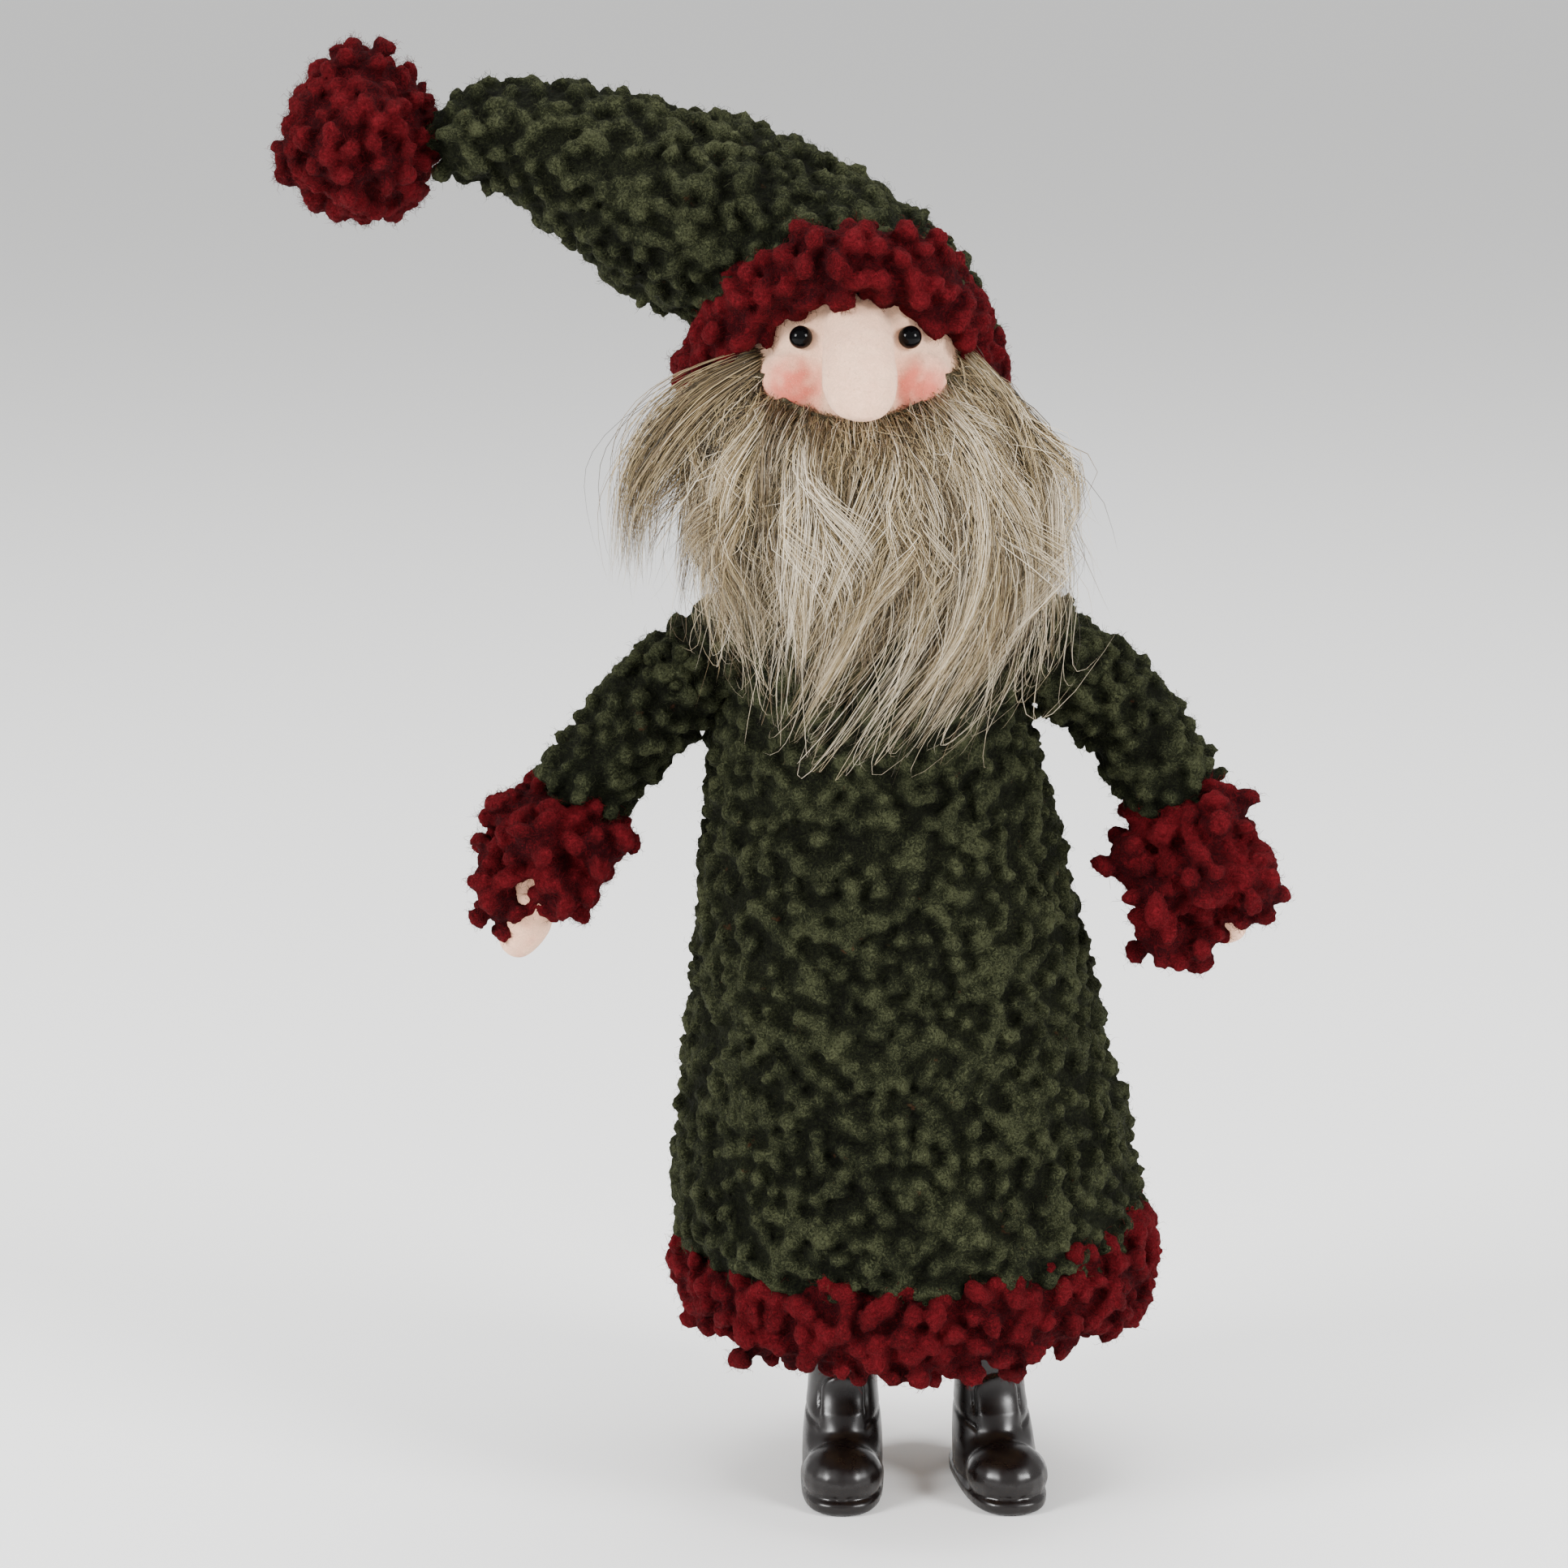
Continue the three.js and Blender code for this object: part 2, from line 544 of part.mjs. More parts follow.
function hatRing(edge) {
  const inner = point(edge.inner[0], 0, edge.inner[1]).multiplyScalar(HEAD_RADIUS)
  const outer = point(edge.outer[0], 0, edge.outer[1]).multiplyScalar(HEAD_RADIUS)
  const across = outer.clone().sub(inner)
  const centre = inner.clone().add(outer).multiplyScalar(0.5).add(headCentre)
  centre.y += edge.forward * HAT_TIP_Y
  const half = across.length() / 2
  const facing = across.clone().cross(point(0, 1, 0))
  return ring(centre, half, half, facing, edge.tilt)
}

const hatRings = HAT_EDGES.map(hatRing)
const bendRing = hatRings[BEND_EDGE]
const hatPivot = bendRing.centre
const hatRootRadius = bendRing.halfWidth
const hatEnd = hatRings[hatRings.length - 1].centre
const pompomCentre = hatEnd.clone().add(point(-POMPOM_RADIUS * 0.95, 1, 0.5))

const crownEndRing = ring(
  hatRings[BEND_EDGE - 1].centre.clone().lerp(hatPivot, 0.45),
  THREE.MathUtils.lerp(hatRings[BEND_EDGE - 1].halfWidth, hatRootRadius, 0.45),
  THREE.MathUtils.lerp(hatRings[BEND_EDGE - 1].halfDepth, hatRootRadius, 0.45),
  bendRing.facing,
)
const crownRings = [...hatRings.slice(0, BEND_EDGE), crownEndRing]

function tipSwing(extra) {
  const radius = hatRootRadius + PIVOT_GAP + extra
  return swingRoom(hatPivot, hatEnd, radius, HAT_RANGE, 1, 2 * hatRootRadius)
}

const tipRoom = tipSwing(0)
const tipLining = tipSwing(HAT_WALL)
const tipWadRoom = tipSwing(HAT_WALL + GAP)

function extended(rings, by) {
  const first = rings[0]
  const down = point(0, -Math.sin(radians(first.tilt)), -Math.cos(radians(first.tilt)))
  return [{ ...first, centre: first.centre.clone().addScaledVector(down, by) }, ...rings]
}

const wireSpots = [
  headCentre.clone().add(point(0, 0, HEAD_RADIUS * 0.55)),
  headCentre.clone().add(point(-HEAD_RADIUS * 0.35, HAT_TIP_Y * 0.5, HEAD_RADIUS * 1.12)),
  hatRings[BEND_EDGE - 2].centre,
  hatPivot,
]
const wireCurve = new THREE.CatmullRomCurve3(wireSpots)

function curvedWire(from, to, radius) {
  const count = 10
  const rings = []
  for (let i = 0; i <= count; i += 1) {
    const share = THREE.MathUtils.lerp(from, to, i / count)
    rings.push(ring(wireCurve.getPointAt(share), radius, radius, wireCurve.getTangentAt(share)))
  }
  return loft(rings, 12)
}

const wireStop = 1 - (hatRootRadius + 1.4) / wireCurve.getLength()
const hatWireRoom = curvedWire(0, 1, WIRE_BORE + GAP)
const crownLining = cut(loft(extended(grown(crownRings, -HAT_WALL), 4)), tipLining)
const crown = cut(loft(crownRings), crownLining, headRoom, tipRoom, hatWireRoom)
addNode('hat_crown', crown, 'green_boucle')
const crownWad = cut(
  loft(grown(crownRings, -HAT_WALL - GAP)),
  tipWadRoom,
  ball(headCentre, HEAD_RADIUS + HAT_CLEAR),
  hatWireRoom,
)
addNode('hat_wadding', crownWad, 'wadding')
addNode('head_core', cut(head, ...eyeRooms, hatWireRoom), 'wadding')
addNode('hat_wire_lower', curvedWire(0.02, wireStop, WIRE_RADIUS), 'wire')

const tipRings = [bendRing, ...hatRings.slice(BEND_EDGE + 1)]
const tipAxis = hatEnd.clone().sub(hatPivot).normalize()
const tipWireEnd = hatEnd.clone().addScaledVector(tipAxis, -2)
const tipBore = rod(hatPivot.clone().addScaledVector(tipAxis, -hatRootRadius - 5), hatEnd, WIRE_BORE, 12)
const pompomShape = point(1, 1, POMPOM_HALF_HEIGHT / POMPOM_RADIUS)
const pompomRoom = ball(pompomCentre, POMPOM_RADIUS + GAP, pompomShape)
const tip = cut(join(ball(hatPivot, hatRootRadius), loft(tipRings)), tipBore, pompomRoom)
addNode('hat_tip', tip, 'green_boucle')
addNode('hat_wire_tip', rod(hatPivot, tipWireEnd, WIRE_RADIUS, 12), 'wire')
addNode('pompom', ball(pompomCentre, POMPOM_RADIUS, pompomShape), 'red_boucle')

// Brim: a rounded band lathed about the tilted axis of the hat's mouth.
const brimInner = hatRings[0].halfWidth + GAP
const brimProfile = []
for (let i = 0; i <= 16; i += 1) {
  const angle = (i / 16) * 2 * Math.PI
  brimProfile.push(new THREE.Vector2(
    brimInner + BRIM_THICKNESS / 2 + (BRIM_THICKNESS / 2) * Math.cos(angle),
    (BRIM_HEIGHT / 2) * Math.sin(angle),
  ))
}
const brimBand = new THREE.LatheGeometry(brimProfile, 40)
brimBand.rotateX(Math.PI / 2 - radians(HAT_TILT))
brimBand.translate(hatRings[0].centre.x, hatRings[0].centre.y, hatRings[0].centre.z)
const crownRoom = loft(grown(crownRings, GAP))
const brim = cut(toSolid(brimBand), crownRoom, faceRoom)
addNode('hat_brim', brim, 'red_boucle')

// ---------------------------------------------------------------- beard
const BACKING_THICKNESS = 1.2
const backingInner = faceRadius + GAP
const beardSpan = FACE_HALF_WIDTH + 5
const backingWindow = slab(
  point(headCentre.x - beardSpan, headCentre.y - 40, headCentre.z - HEAD_RADIUS * 0.85),
  point(headCentre.x + beardSpan, headCentre.y - 4, headCentre.z + 1),
)
const faceOpening = new THREE.CylinderGeometry(1, 1, 4 * HEAD_RADIUS, SIDES)
faceOpening.scale(FACE_HALF_WIDTH - 1, 1, FACE_HALF_HEIGHT - 1)
faceOpening.translate(headCentre.x, headCentre.y - 2 * HEAD_RADIUS, faceCentreZ)
const opening = toSolid(faceOpening)
const brimMiddle = brimInner + BRIM_THICKNESS / 2
const brimRoom = new THREE.LatheGeometry(brimProfile.map((spot) => new THREE.Vector2(
  brimMiddle + (spot.x - brimMiddle) * (1 + 2 * GAP / BRIM_THICKNESS),
  spot.y * (1 + 2 * GAP / BRIM_HEIGHT),
)), 40)
brimRoom.rotateX(Math.PI / 2 - radians(HAT_TILT))
brimRoom.translate(hatRings[0].centre.x, hatRings[0].centre.y, hatRings[0].centre.z)
const brimClear = toSolid(brimRoom)
const noseRoom = loft(grown(noseRings, 2 * GAP), 24)
const coatRoom = loft(grown(coatRings(0), GAP))
const backing = cut(
  common(cut(ball(headCentre, backingInner + BACKING_THICKNESS), ball(headCentre, backingInner)), backingWindow),
  opening,
  brimClear,
  noseRoom,
  coatRoom,
)
addNode('beard_backing', backing, 'fur_backing')

const beardLevels = [
  // share of the way down, sideways shift, forward shift, half width, half depth
  [0, 0, -18, 26, 12],
  [0.12, 1, -21, 34, 14],
  [0.3, 2.5, -24, 38, 15],
  [0.5, 3.5, -28, 37, 14],
  [0.68, 3.5, -30, 32, 12.5],
  [0.85, 4, -32, 24, 10.5],
  [0.95, 4, -34, 15, 8],
  [1, 4, -35, 7, 5],
]
const beardTopZ = headCentre.z + 1
const beardLength = COAT_HEIGHT * 0.56
const beardRings = beardLevels.map(([share, shift, forward, wide, deep]) => ring(
  point(headCentre.x + shift, headCentre.y + forward, beardTopZ - share * beardLength),
  wide,
  deep,
)).reverse()
const backingRoom = ball(headCentre, backingInner + BACKING_THICKNESS + GAP)
const beard = cut(
  loft(beardRings),
  backingRoom,
  opening,
  noseRoom,
  brimClear,
  coatRoom,
  ...armRooms,
)
addNode('beard_fur', beard, 'fur')

// ---------------------------------------------------------------- row frame
const bounds = new THREE.Box3().setFromObject(group)
const middle = bounds.getCenter(point(0, 0, 0))
group.children.forEach((mesh) => mesh.geometry.translate(-middle.x, -middle.y, -bounds.min.z))

export default group
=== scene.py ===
"""Tomte gnome: the looks of a stuffed bouclé figure with a fur beard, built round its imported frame."""

import json
import math

import bpy
import numpy as np
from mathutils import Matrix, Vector, kdtree, noise


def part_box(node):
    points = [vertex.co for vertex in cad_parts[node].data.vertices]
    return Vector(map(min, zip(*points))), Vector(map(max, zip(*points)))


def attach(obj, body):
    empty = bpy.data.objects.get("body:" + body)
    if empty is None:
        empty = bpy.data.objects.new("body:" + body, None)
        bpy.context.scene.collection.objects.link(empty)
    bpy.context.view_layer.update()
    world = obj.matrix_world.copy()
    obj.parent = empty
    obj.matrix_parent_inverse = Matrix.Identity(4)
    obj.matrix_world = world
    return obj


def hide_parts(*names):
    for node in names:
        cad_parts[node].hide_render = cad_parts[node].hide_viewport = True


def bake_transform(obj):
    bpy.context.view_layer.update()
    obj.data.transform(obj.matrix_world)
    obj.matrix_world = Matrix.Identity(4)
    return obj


bl_info = {
    "name": "Tomte gnome maker",
    "version": (1, 0, 0),
    "blender": (4, 5, 0),
    "location": "3D View > Sidebar > Gnome",
    "description": "Makes the wool, felt, fur and boots of a tomte gnome round its frame",
    "category": "Add Mesh",
}

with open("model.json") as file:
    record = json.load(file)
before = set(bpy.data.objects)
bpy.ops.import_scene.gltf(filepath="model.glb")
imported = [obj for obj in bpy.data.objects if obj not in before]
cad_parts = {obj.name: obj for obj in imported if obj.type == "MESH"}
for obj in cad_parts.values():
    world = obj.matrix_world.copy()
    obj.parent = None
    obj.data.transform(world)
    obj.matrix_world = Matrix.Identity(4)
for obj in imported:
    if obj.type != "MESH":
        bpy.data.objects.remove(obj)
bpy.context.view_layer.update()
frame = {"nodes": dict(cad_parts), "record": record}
MM = 0.001
JOINTS = {joint["name"]: joint for joint in frame["record"]["behaviour"]["joints"]}


# ------------------------------------------------------------------ sizes and colours
def length(name, description, default):
    return bpy.props.FloatProperty(name=name, description=description, default=default * MM, unit="LENGTH")


def linear(hex_colour):
    """sRGB hex to linear RGB."""
    parts = [int(hex_colour[i:i + 2], 16) / 255 for i in (1, 3, 5)]
    return tuple(p / 12.92 if p <= 0.04045 else ((p + 0.055) / 1.055) ** 2.4 for p in parts)


def colour(name, description, default):
    return bpy.props.FloatVectorProperty(
        name=name, description=description, default=linear(default), subtype="COLOR", size=3, min=0, max=1
    )


class GnomeSizes(bpy.types.PropertyGroup):
    """Sizes a maker would change."""

    green_gap: length("Green spacing", "Least distance between the curls of the coat and hat cloth", 3.4)
    green_curl: length("Green curl", "Half thickness of the coat's curls", 1.85)
    red_gap: length("Red spacing", "Least distance between the curls of the red trimmings", 3.6)
    red_curl: length("Red curl", "Half thickness of the red curls", 2.15)
    fuzz: length("Fuzz", "Length of the loose fibres that stand out of the wool", 3.4)
    fibre: length("Fibre", "Thickness of a loose wool fibre", 0.075)
    hair_width: length("Hair width", "Thickness of a beard hair at its root", 0.19)
    bead: length("Bead", "Diameter of the eye beads", 4.6)


class GnomeColours(bpy.types.PropertyGroup):
    """Colours a maker would change."""

    # green_dark and red_dark are painted shade down in the pile; green_light and red_light are paler fibre
    # and painted light on the curl tops
    green_dark: colour("Green, deep", "Bottom of the green pile", "#070804")
    green_mid: colour("Green", "Body of the green wool", "#1b1e11")
    green_light: colour("Green, tips", "Tops of the green curls", "#42452f")
    red_dark: colour("Red, deep", "Bottom of the red pile", "#220205")
    red_mid: colour("Red", "Body of the red wool", "#44060b")
    red_light: colour("Red, tips", "Tops of the red curls", "#611118")
    skin: colour("Felt", "Skin-coloured felt", "#fbcaa8")
    blush: colour("Blush", "Rubbed-in cheek colour", "#e4735c")
    hair_dark: colour("Hair, dark", "Darkest beard hairs", "#2b2418")
    hair_mid: colour("Hair", "Most beard hairs", "#725f43")
    hair_light: colour("Hair, pale", "Palest beard hairs", "#dccfb8")
    boot: colour("Boot", "Moulded boots", "#0d0706")


def sizes():
    return bpy.context.scene.gnome_sizes


def colours():
    return bpy.context.scene.gnome_colours


# ------------------------------------------------------------------ modelling helpers
def deselect():
    if bpy.context.object and bpy.context.object.mode != "OBJECT":
        bpy.ops.object.mode_set(mode="OBJECT")
    bpy.ops.object.select_all(action="DESELECT")


def take(piece):
    deselect()
    piece.select_set(True)
    bpy.context.view_layer.objects.active = piece


def turn(angle, axis, centre):
    """Right-handed turn about a row axis; the operator itself turns the other way here."""
    if abs(angle) > 1e-6:
        bpy.ops.transform.rotate(
            value=-angle, orient_axis=axis, orient_type="GLOBAL", center_override=centre
        )


class Ring:
    """A cross-section: centre, half sizes, the way it faces in the XZ plane, how far its front is raised."""

    def __init__(self, centre, wide, deep, facing=(0, 1), tilt=0.0):
        self.centre = Vector(centre)
        self.wide = wide
        self.deep = deep
        self.turn = math.atan2(facing[0], facing[1])
        self.tilt = math.radians(tilt)


def ring_form(name, rings, sides=28):
    """A closed form made as by hand: one filled circle, extruded, moved, sized and turned ring by ring."""
    deselect()
    bpy.ops.mesh.primitive_circle_add(vertices=sides, radius=1.0, fill_type="NGON", location=(0, 0, 0))
    form = bpy.context.object
    form.name = name
    form.data.name = name
    bpy.ops.object.mode_set(mode="EDIT")
    bpy.ops.mesh.select_all(action="SELECT")
    first = rings[0]
    origin = (0, 0, 0)
    bpy.ops.transform.resize(value=(first.wide, first.deep, 1), center_override=origin)
    turn(-first.tilt, "X", origin)
    turn(first.turn, "Y", origin)
    bpy.ops.transform.translate(value=first.centre)
    for before, here in zip(rings, rings[1:]):
        bpy.ops.mesh.extrude_region_move(TRANSFORM_OT_translate={"value": here.centre - before.centre})
        turn(-before.turn, "Y", here.centre)
        turn(before.tilt, "X", here.centre)
        scale = (here.wide / before.wide, here.deep / before.deep, 1)
        bpy.ops.transform.resize(value=scale, orient_type="GLOBAL", center_override=here.centre)
        turn(-here.tilt, "X", here.centre)
        turn(here.turn, "Y", here.centre)
    bpy.ops.mesh.select_all(action="SELECT")
    bpy.ops.mesh.normals_make_consistent(inside=False)
    bpy.ops.object.mode_set(mode="OBJECT")
    return form


def apply_modifier(piece, kind, **settings):
    take(piece)
    modifier = piece.modifiers.new(kind.title(), kind)
    for key, value in settings.items():
        setattr(modifier, key, value)
    bpy.ops.object.modifier_apply(modifier=modifier.name)


def join_forms(name, forms):
    deselect()
    for form in forms:
        form.select_set(True)
    bpy.context.view_layer.objects.active = forms[0]
    bpy.ops.object.join()
    forms[0].name = name
    forms[0].data.name = name
    return forms[0]


def rounded(piece, levels=2):
    apply_modifier(piece, "SUBSURF", levels=levels, render_levels=levels)


def even_skin(piece, grain):
    """Remeshes to an even grid so that the pile can be raised out of it."""
    apply_modifier(piece, "REMESH", mode="VOXEL", voxel_size=grain, use_smooth_shade=True)


def points_of(piece):
    spots = np.empty(len(piece.data.vertices) * 3, np.float32)
    piece.data.vertices.foreach_get("co", spots)
    return spots.reshape(-1, 3).astype(float)


def normals_of(piece):
    spots = np.empty(len(piece.data.vertices) * 3, np.float32)
    piece.data.vertex_normals.foreach_get("vector", spots)
    return spots.reshape(-1, 3).astype(float)


def move_points(piece, spots):
    piece.data.vertices.foreach_set("co", spots.astype(np.float32).ravel())
    piece.data.update()


def unit(vectors):
    return vectors / np.maximum(np.linalg.norm(vectors, axis=-1, keepdims=True), 1e-12)


def mark(piece, name, values):
    """Stores a number at every point, for the material to read."""
    layer = piece.data.attributes.get(name) or piece.data.attributes.new(name, "FLOAT", "POINT")
    layer.data.foreach_set("value", np.asarray(values, np.float32))


def lumps(spots, size, seed=0.0):
    """Smooth noise from -1 to 1 with lumps of about that size."""
    shift = Vector((seed, seed * 1.7, -seed))
    return np.array([noise.noise(Vector(p) / size + shift) for p in spots])


def surface_points(piece, count, rng, favour=None):
    """Random points of a skin with the way it faces there. favour: how likely each of its points is."""
    mesh = piece.data
    mesh.calc_loop_triangles()
    corners = np.empty(len(mesh.loop_triangles) * 3, np.int32)
    mesh.loop_triangles.foreach_get("vertices", corners)
    corners = corners.reshape(-1, 3)
    spots = points_of(piece)
    a, b, c = (spots[corners[:, i]] for i in range(3))
    cross = np.cross(b - a, c - a)
    weight = np.linalg.norm(cross, axis=1)
    if favour is not None:
        weight = weight * favour[corners].mean(axis=1)
    picked = rng.choice(len(weight), count, p=weight / weight.sum())
    u, v = rng.uniform(size=(2, count))
    flip = u + v > 1
    u[flip], v[flip] = 1 - u[flip], 1 - v[flip]
    roots = a[picked] + (b - a)[picked] * u[:, None] + (c - a)[picked] * v[:, None]
    return roots, unit(cross[picked])


def area_of(piece):
    return sum(face.area for face in piece.data.polygons)


def scatter(piece, spacing, rng):
    """Roots spread evenly over a skin, no two nearer than spacing, with the way each one grows."""
    tries = int(4.5 * area_of(piece) / spacing ** 2)
    roots, outward = surface_points(piece, tries, rng)
    keys = np.floor(roots / spacing).astype(int).tolist()
    near = [(i, j, k) for i in (-1, 0, 1) for j in (-1, 0, 1) for k in (-1, 0, 1)]
    cells = {}
    kept = []
    places = roots.tolist()
    limit = spacing ** 2
    for index, (i, j, k) in enumerate(keys):
        x, y, z = places[index]
        others = [o for di, dj, dk in near for o in cells.get((i + di, j + dj, k + dk), ())]
        if all((x - o[0]) ** 2 + (y - o[1]) ** 2 + (z - o[2]) ** 2 >= limit for o in others):
            cells.setdefault((i, j, k), []).append((x, y, z))
            kept.append(index)
    return roots[kept], outward[kept]


def one_curl():
    """One curl of pile, modelled once and copied: its points and triangles."""
    deselect()
    bpy.ops.mesh.primitive_ico_sphere_add(subdivisions=2, radius=1.0, location=(0, 0, 0))
    curl = bpy.context.object
    spots = points_of(curl)
    corners = np.array([face.vertices[:] for face in curl.data.polygons])
    bpy.ops.object.delete()
    return spots, corners


def add_pile(base, spacing, size, grain, seed, longer=0.6, ragged=0.0):
    """Covers a skin with bouclé curls: copies of one curl, each turned, pulled, dented and bent its own
    way, all grown together with the cloth below."""
    rng = np.random.default_rng(seed)
    roots, outward = scatter(base, spacing, rng)
    count = len(roots)
    ball, corners = one_curl()
    along = unit(np.cross(outward, rng.normal(size=(count, 3))))
    across = np.cross(outward, along)
    form = np.repeat(ball[None], count, axis=0)
    for pitch in (2.6, 4.2):
        way = unit(rng.normal(size=(count, 1, 3)))
        phase = rng.uniform(0, 2 * math.pi, (count, 1))
        form = form * (1 + 0.15 * np.sin(pitch * (form * way).sum(-1) + phase))[..., None]
    bent = form[..., 2] - 0.35 * rng.uniform(-0.3, 1, (count, 1)) * form[..., 0] ** 2
    wide = size * rng.uniform(0.8, 1.15, count)
    long = wide * (1 + longer * rng.uniform(0, 1, count) ** 1.5)
    tall = size * rng.uniform(0.75, 1.2, count)
    lift = size * rng.uniform(0.15, 0.7, count) + ragged * rng.uniform(0, 1, count) ** 3
    lean = rng.normal(0, 0.25, (count, 1)) * (0.5 + 0.5 * form[..., 2])
    spots = roots[:, None]
    spots = spots + along[:, None] * (form[..., 0] * long[:, None] + lean * size)[..., None]
    spots = spots + across[:, None] * (form[..., 1] * wide[:, None])[..., None]
    spots = spots + outward[:, None] * (bent * tall[:, None] + lift[:, None])[..., None]
    triangles = (corners[None] + (np.arange(count) * len(ball))[:, None, None]).reshape(-1, 3)
    name = base.name
    whole = join_forms(name, [base, mesh_piece(f"{name}_curls", spots.reshape(-1, 3), triangles)])
    even_skin(whole, grain)
    apply_modifier(whole, "SMOOTH", factor=0.5, iterations=1)
    spots = points_of(whole)
    tree = kdtree.KDTree(count)
    for i, place in enumerate(roots + outward * lift[:, None]):
        tree.insert(place, i)
    tree.balance()
    owner = np.array([tree.find(spot)[1] for spot in spots])
    # pile_height runs from 0 in the gaps to 1 on the curl tops; the wool material paints shade in the gaps
    # and light on the tops from it
    height = ((spots - roots[owner]) * outward[owner]).sum(-1) / (size + lift[owner] * 0.8)
    mark(whole, "pile_height", np.clip(height, 0, 1))
    mark(whole, "pile_tone", rng.uniform(0, 1, count)[owner])
    move_points(whole, spots + normals_of(whole) * (0.24 * size * lumps(spots, size * 0.5, seed))[:, None])
    return whole


def mesh_piece(name, spots, triangles):
    """A new piece from points and triangles."""
    mesh = bpy.data.meshes.new(name)
    mesh.vertices.add(len(spots))
    mesh.vertices.foreach_set("co", np.asarray(spots, np.float32).ravel())
    mesh.loops.add(len(triangles) * 3)
    mesh.loops.foreach_set("vertex_index", np.asarray(triangles, np.int32).ravel())
    mesh.polygons.add(len(triangles))
    mesh.polygons.foreach_set("loop_start", np.arange(0, len(triangles) * 3, 3, dtype=np.int32))
    mesh.update(calc_edges=True)
    mesh.polygons.foreach_set("use_smooth", np.ones(len(triangles), bool))
    piece = bpy.data.objects.new(name, mesh)
    bpy.context.collection.objects.link(piece)
    return piece


def hairs(name, paths, widths, marks):
    """Closed three-sided hairs along paths (hair, step, xyz), each ending in a point. marks: numbers for
    each hair, or for each hair and step."""
    count, steps = paths.shape[:2]
    heading = np.empty_like(paths)
    heading[:, 1:-1] = paths[:, 2:] - paths[:, :-2]
    heading[:, 0] = paths[:, 1] - paths[:, 0]
    heading[:, -1] = paths[:, -1] - paths[:, -2]
    heading = unit(heading)
    reference = unit(np.random.default_rng(count).normal(size=(count, 1, 3)))
    side = unit(np.cross(heading, np.broadcast_to(reference, heading.shape)))
    other = np.cross(heading, side)
    rings = []
    for corner in range(3):
        angle = corner * 2 * math.pi / 3
        rings.append(paths + (side * math.cos(angle) + other * math.sin(angle)) * (widths / 2)[..., None])
    body = np.stack(rings, axis=2)[:, :-1]
    spots = np.concatenate([body.reshape(count, -1, 3), paths[:, -1:]], axis=1)
    per_hair = (steps - 1) * 3 + 1
    pattern = [(2, 1, 0)]
    for step in range(steps - 2):
        low = step * 3
        for corner in range(3):
            after = (corner + 1) % 3
            pattern.append((low + corner, low + after, low + 3 + after))
            pattern.append((low + corner, low + 3 + after, low + 3 + corner))
    low = (steps - 2) * 3
    pattern += [(low + corner, low + (corner + 1) % 3, per_hair - 1) for corner in range(3)]
    pattern = np.array(pattern)
    triangles = (pattern[None] + (np.arange(count) * per_hair)[:, None, None]).reshape(-1, 3)
    piece = mesh_piece(name, spots.reshape(-1, 3), triangles)
    for key, values in marks.items():
        values = np.asarray(values)
        if values.ndim == 1:
            mark(piece, key, np.repeat(values, per_hair))
        else:
            body_marks = np.repeat(values[:, :-1], 3, axis=1)
            mark(piece, key, np.concatenate([body_marks, values[:, -1:]], axis=1).ravel())
    return piece


def fuzz(name, base, count, reach, width, lift, seed):
    """Loose curly fibres standing out of the tops of a woolly piece."""
    rng = np.random.default_rng(seed)
    favour = np.empty(len(base.data.vertices), np.float32)
    if "pile_height" in base.data.attributes:
        base.data.attributes["pile_height"].data.foreach_get("value", favour)
    else:
        favour[:] = 1
    root, normal = surface_points(base, count, rng, favour ** 2)
    root = root - normal * width
    across = unit(np.cross(normal, rng.normal(size=(count, 3))))
    side = np.cross(normal, across)
    radius = reach * rng.uniform(0.14, 0.4, count)[:, None]
    rise = lift * rng.uniform(0.0, 1.0, count)[:, None] ** 1.5
    start = unit(across + normal * (0.25 + rise))
    over = unit(side * rng.choice([-1, 1], count)[:, None] + normal * rng.uniform(-0.25, 0.6, count)[:, None])
    turn_by = rng.uniform(1.6, 2.8, count)[:, None]
    paths = np.stack([
        root + start * (radius * np.sin(turn_by * step)) + over * (radius * (1 - np.cos(turn_by * step)))
        for step in (0.0, 0.5, 1.0)
    ], axis=1)
    widths = width * np.broadcast_to(np.array([1.0, 0.85, 0.35]), (count, 3))
    tones = rng.uniform(0, 1, count)
    # painted light: the loose fibres are marked as curl tops (pile_height) and given a further painted
    # highlight (loose)
    marks = {"pile_tone": tones, "pile_height": 0.6 + 0.4 * tones, "loose": 0.4 + tones}
    return hairs(name, paths, widths, marks)


# ------------------------------------------------------------------ materials
def add_node(tree, kind, inputs=None, **settings):
    """Adds a shader node with its settings; an input takes a value or another node's socket."""
    made = tree.nodes.new(kind)
    for key, value in settings.items():
        setattr(made, key, value)
    for key, value in (inputs or {}).items():
        if isinstance(value, bpy.types.NodeSocket):
            tree.links.new(value, made.inputs[key])
        else:
            made.inputs[key].default_value = value
    return made


def new_material(name):
    material = bpy.data.materials.new(name)
    material.use_nodes = True
    material.node_tree.nodes.clear()
    return material, material.node_tree


def rgba(shade):
    return (*shade, 1.0)


def ramp(tree, factor, stops):
    made = add_node(tree, "ShaderNodeValToRGB", {"Fac": factor})
    elements = made.color_ramp.elements
    for i, (place, shade) in enumerate(stops):
        element = elements[i] if i < 2 else elements.new(place)
        element.position = place
        element.color = rgba(shade)
    return made.outputs["Color"]


def close_material(tree, shader):
    add_node(tree, "ShaderNodeOutputMaterial", {"Surface": shader.outputs["BSDF"]})


def scaled(tree, socket, low, high, least=0.0, most=1.0):
    """Stretches the part of a number between low and high to least..most."""
    made = add_node(tree, "ShaderNodeMapRange", {
        "Value": socket, "From Min": low, "From Max": high, "To Min": least, "To Max": most,
    })
    return made.outputs[0]


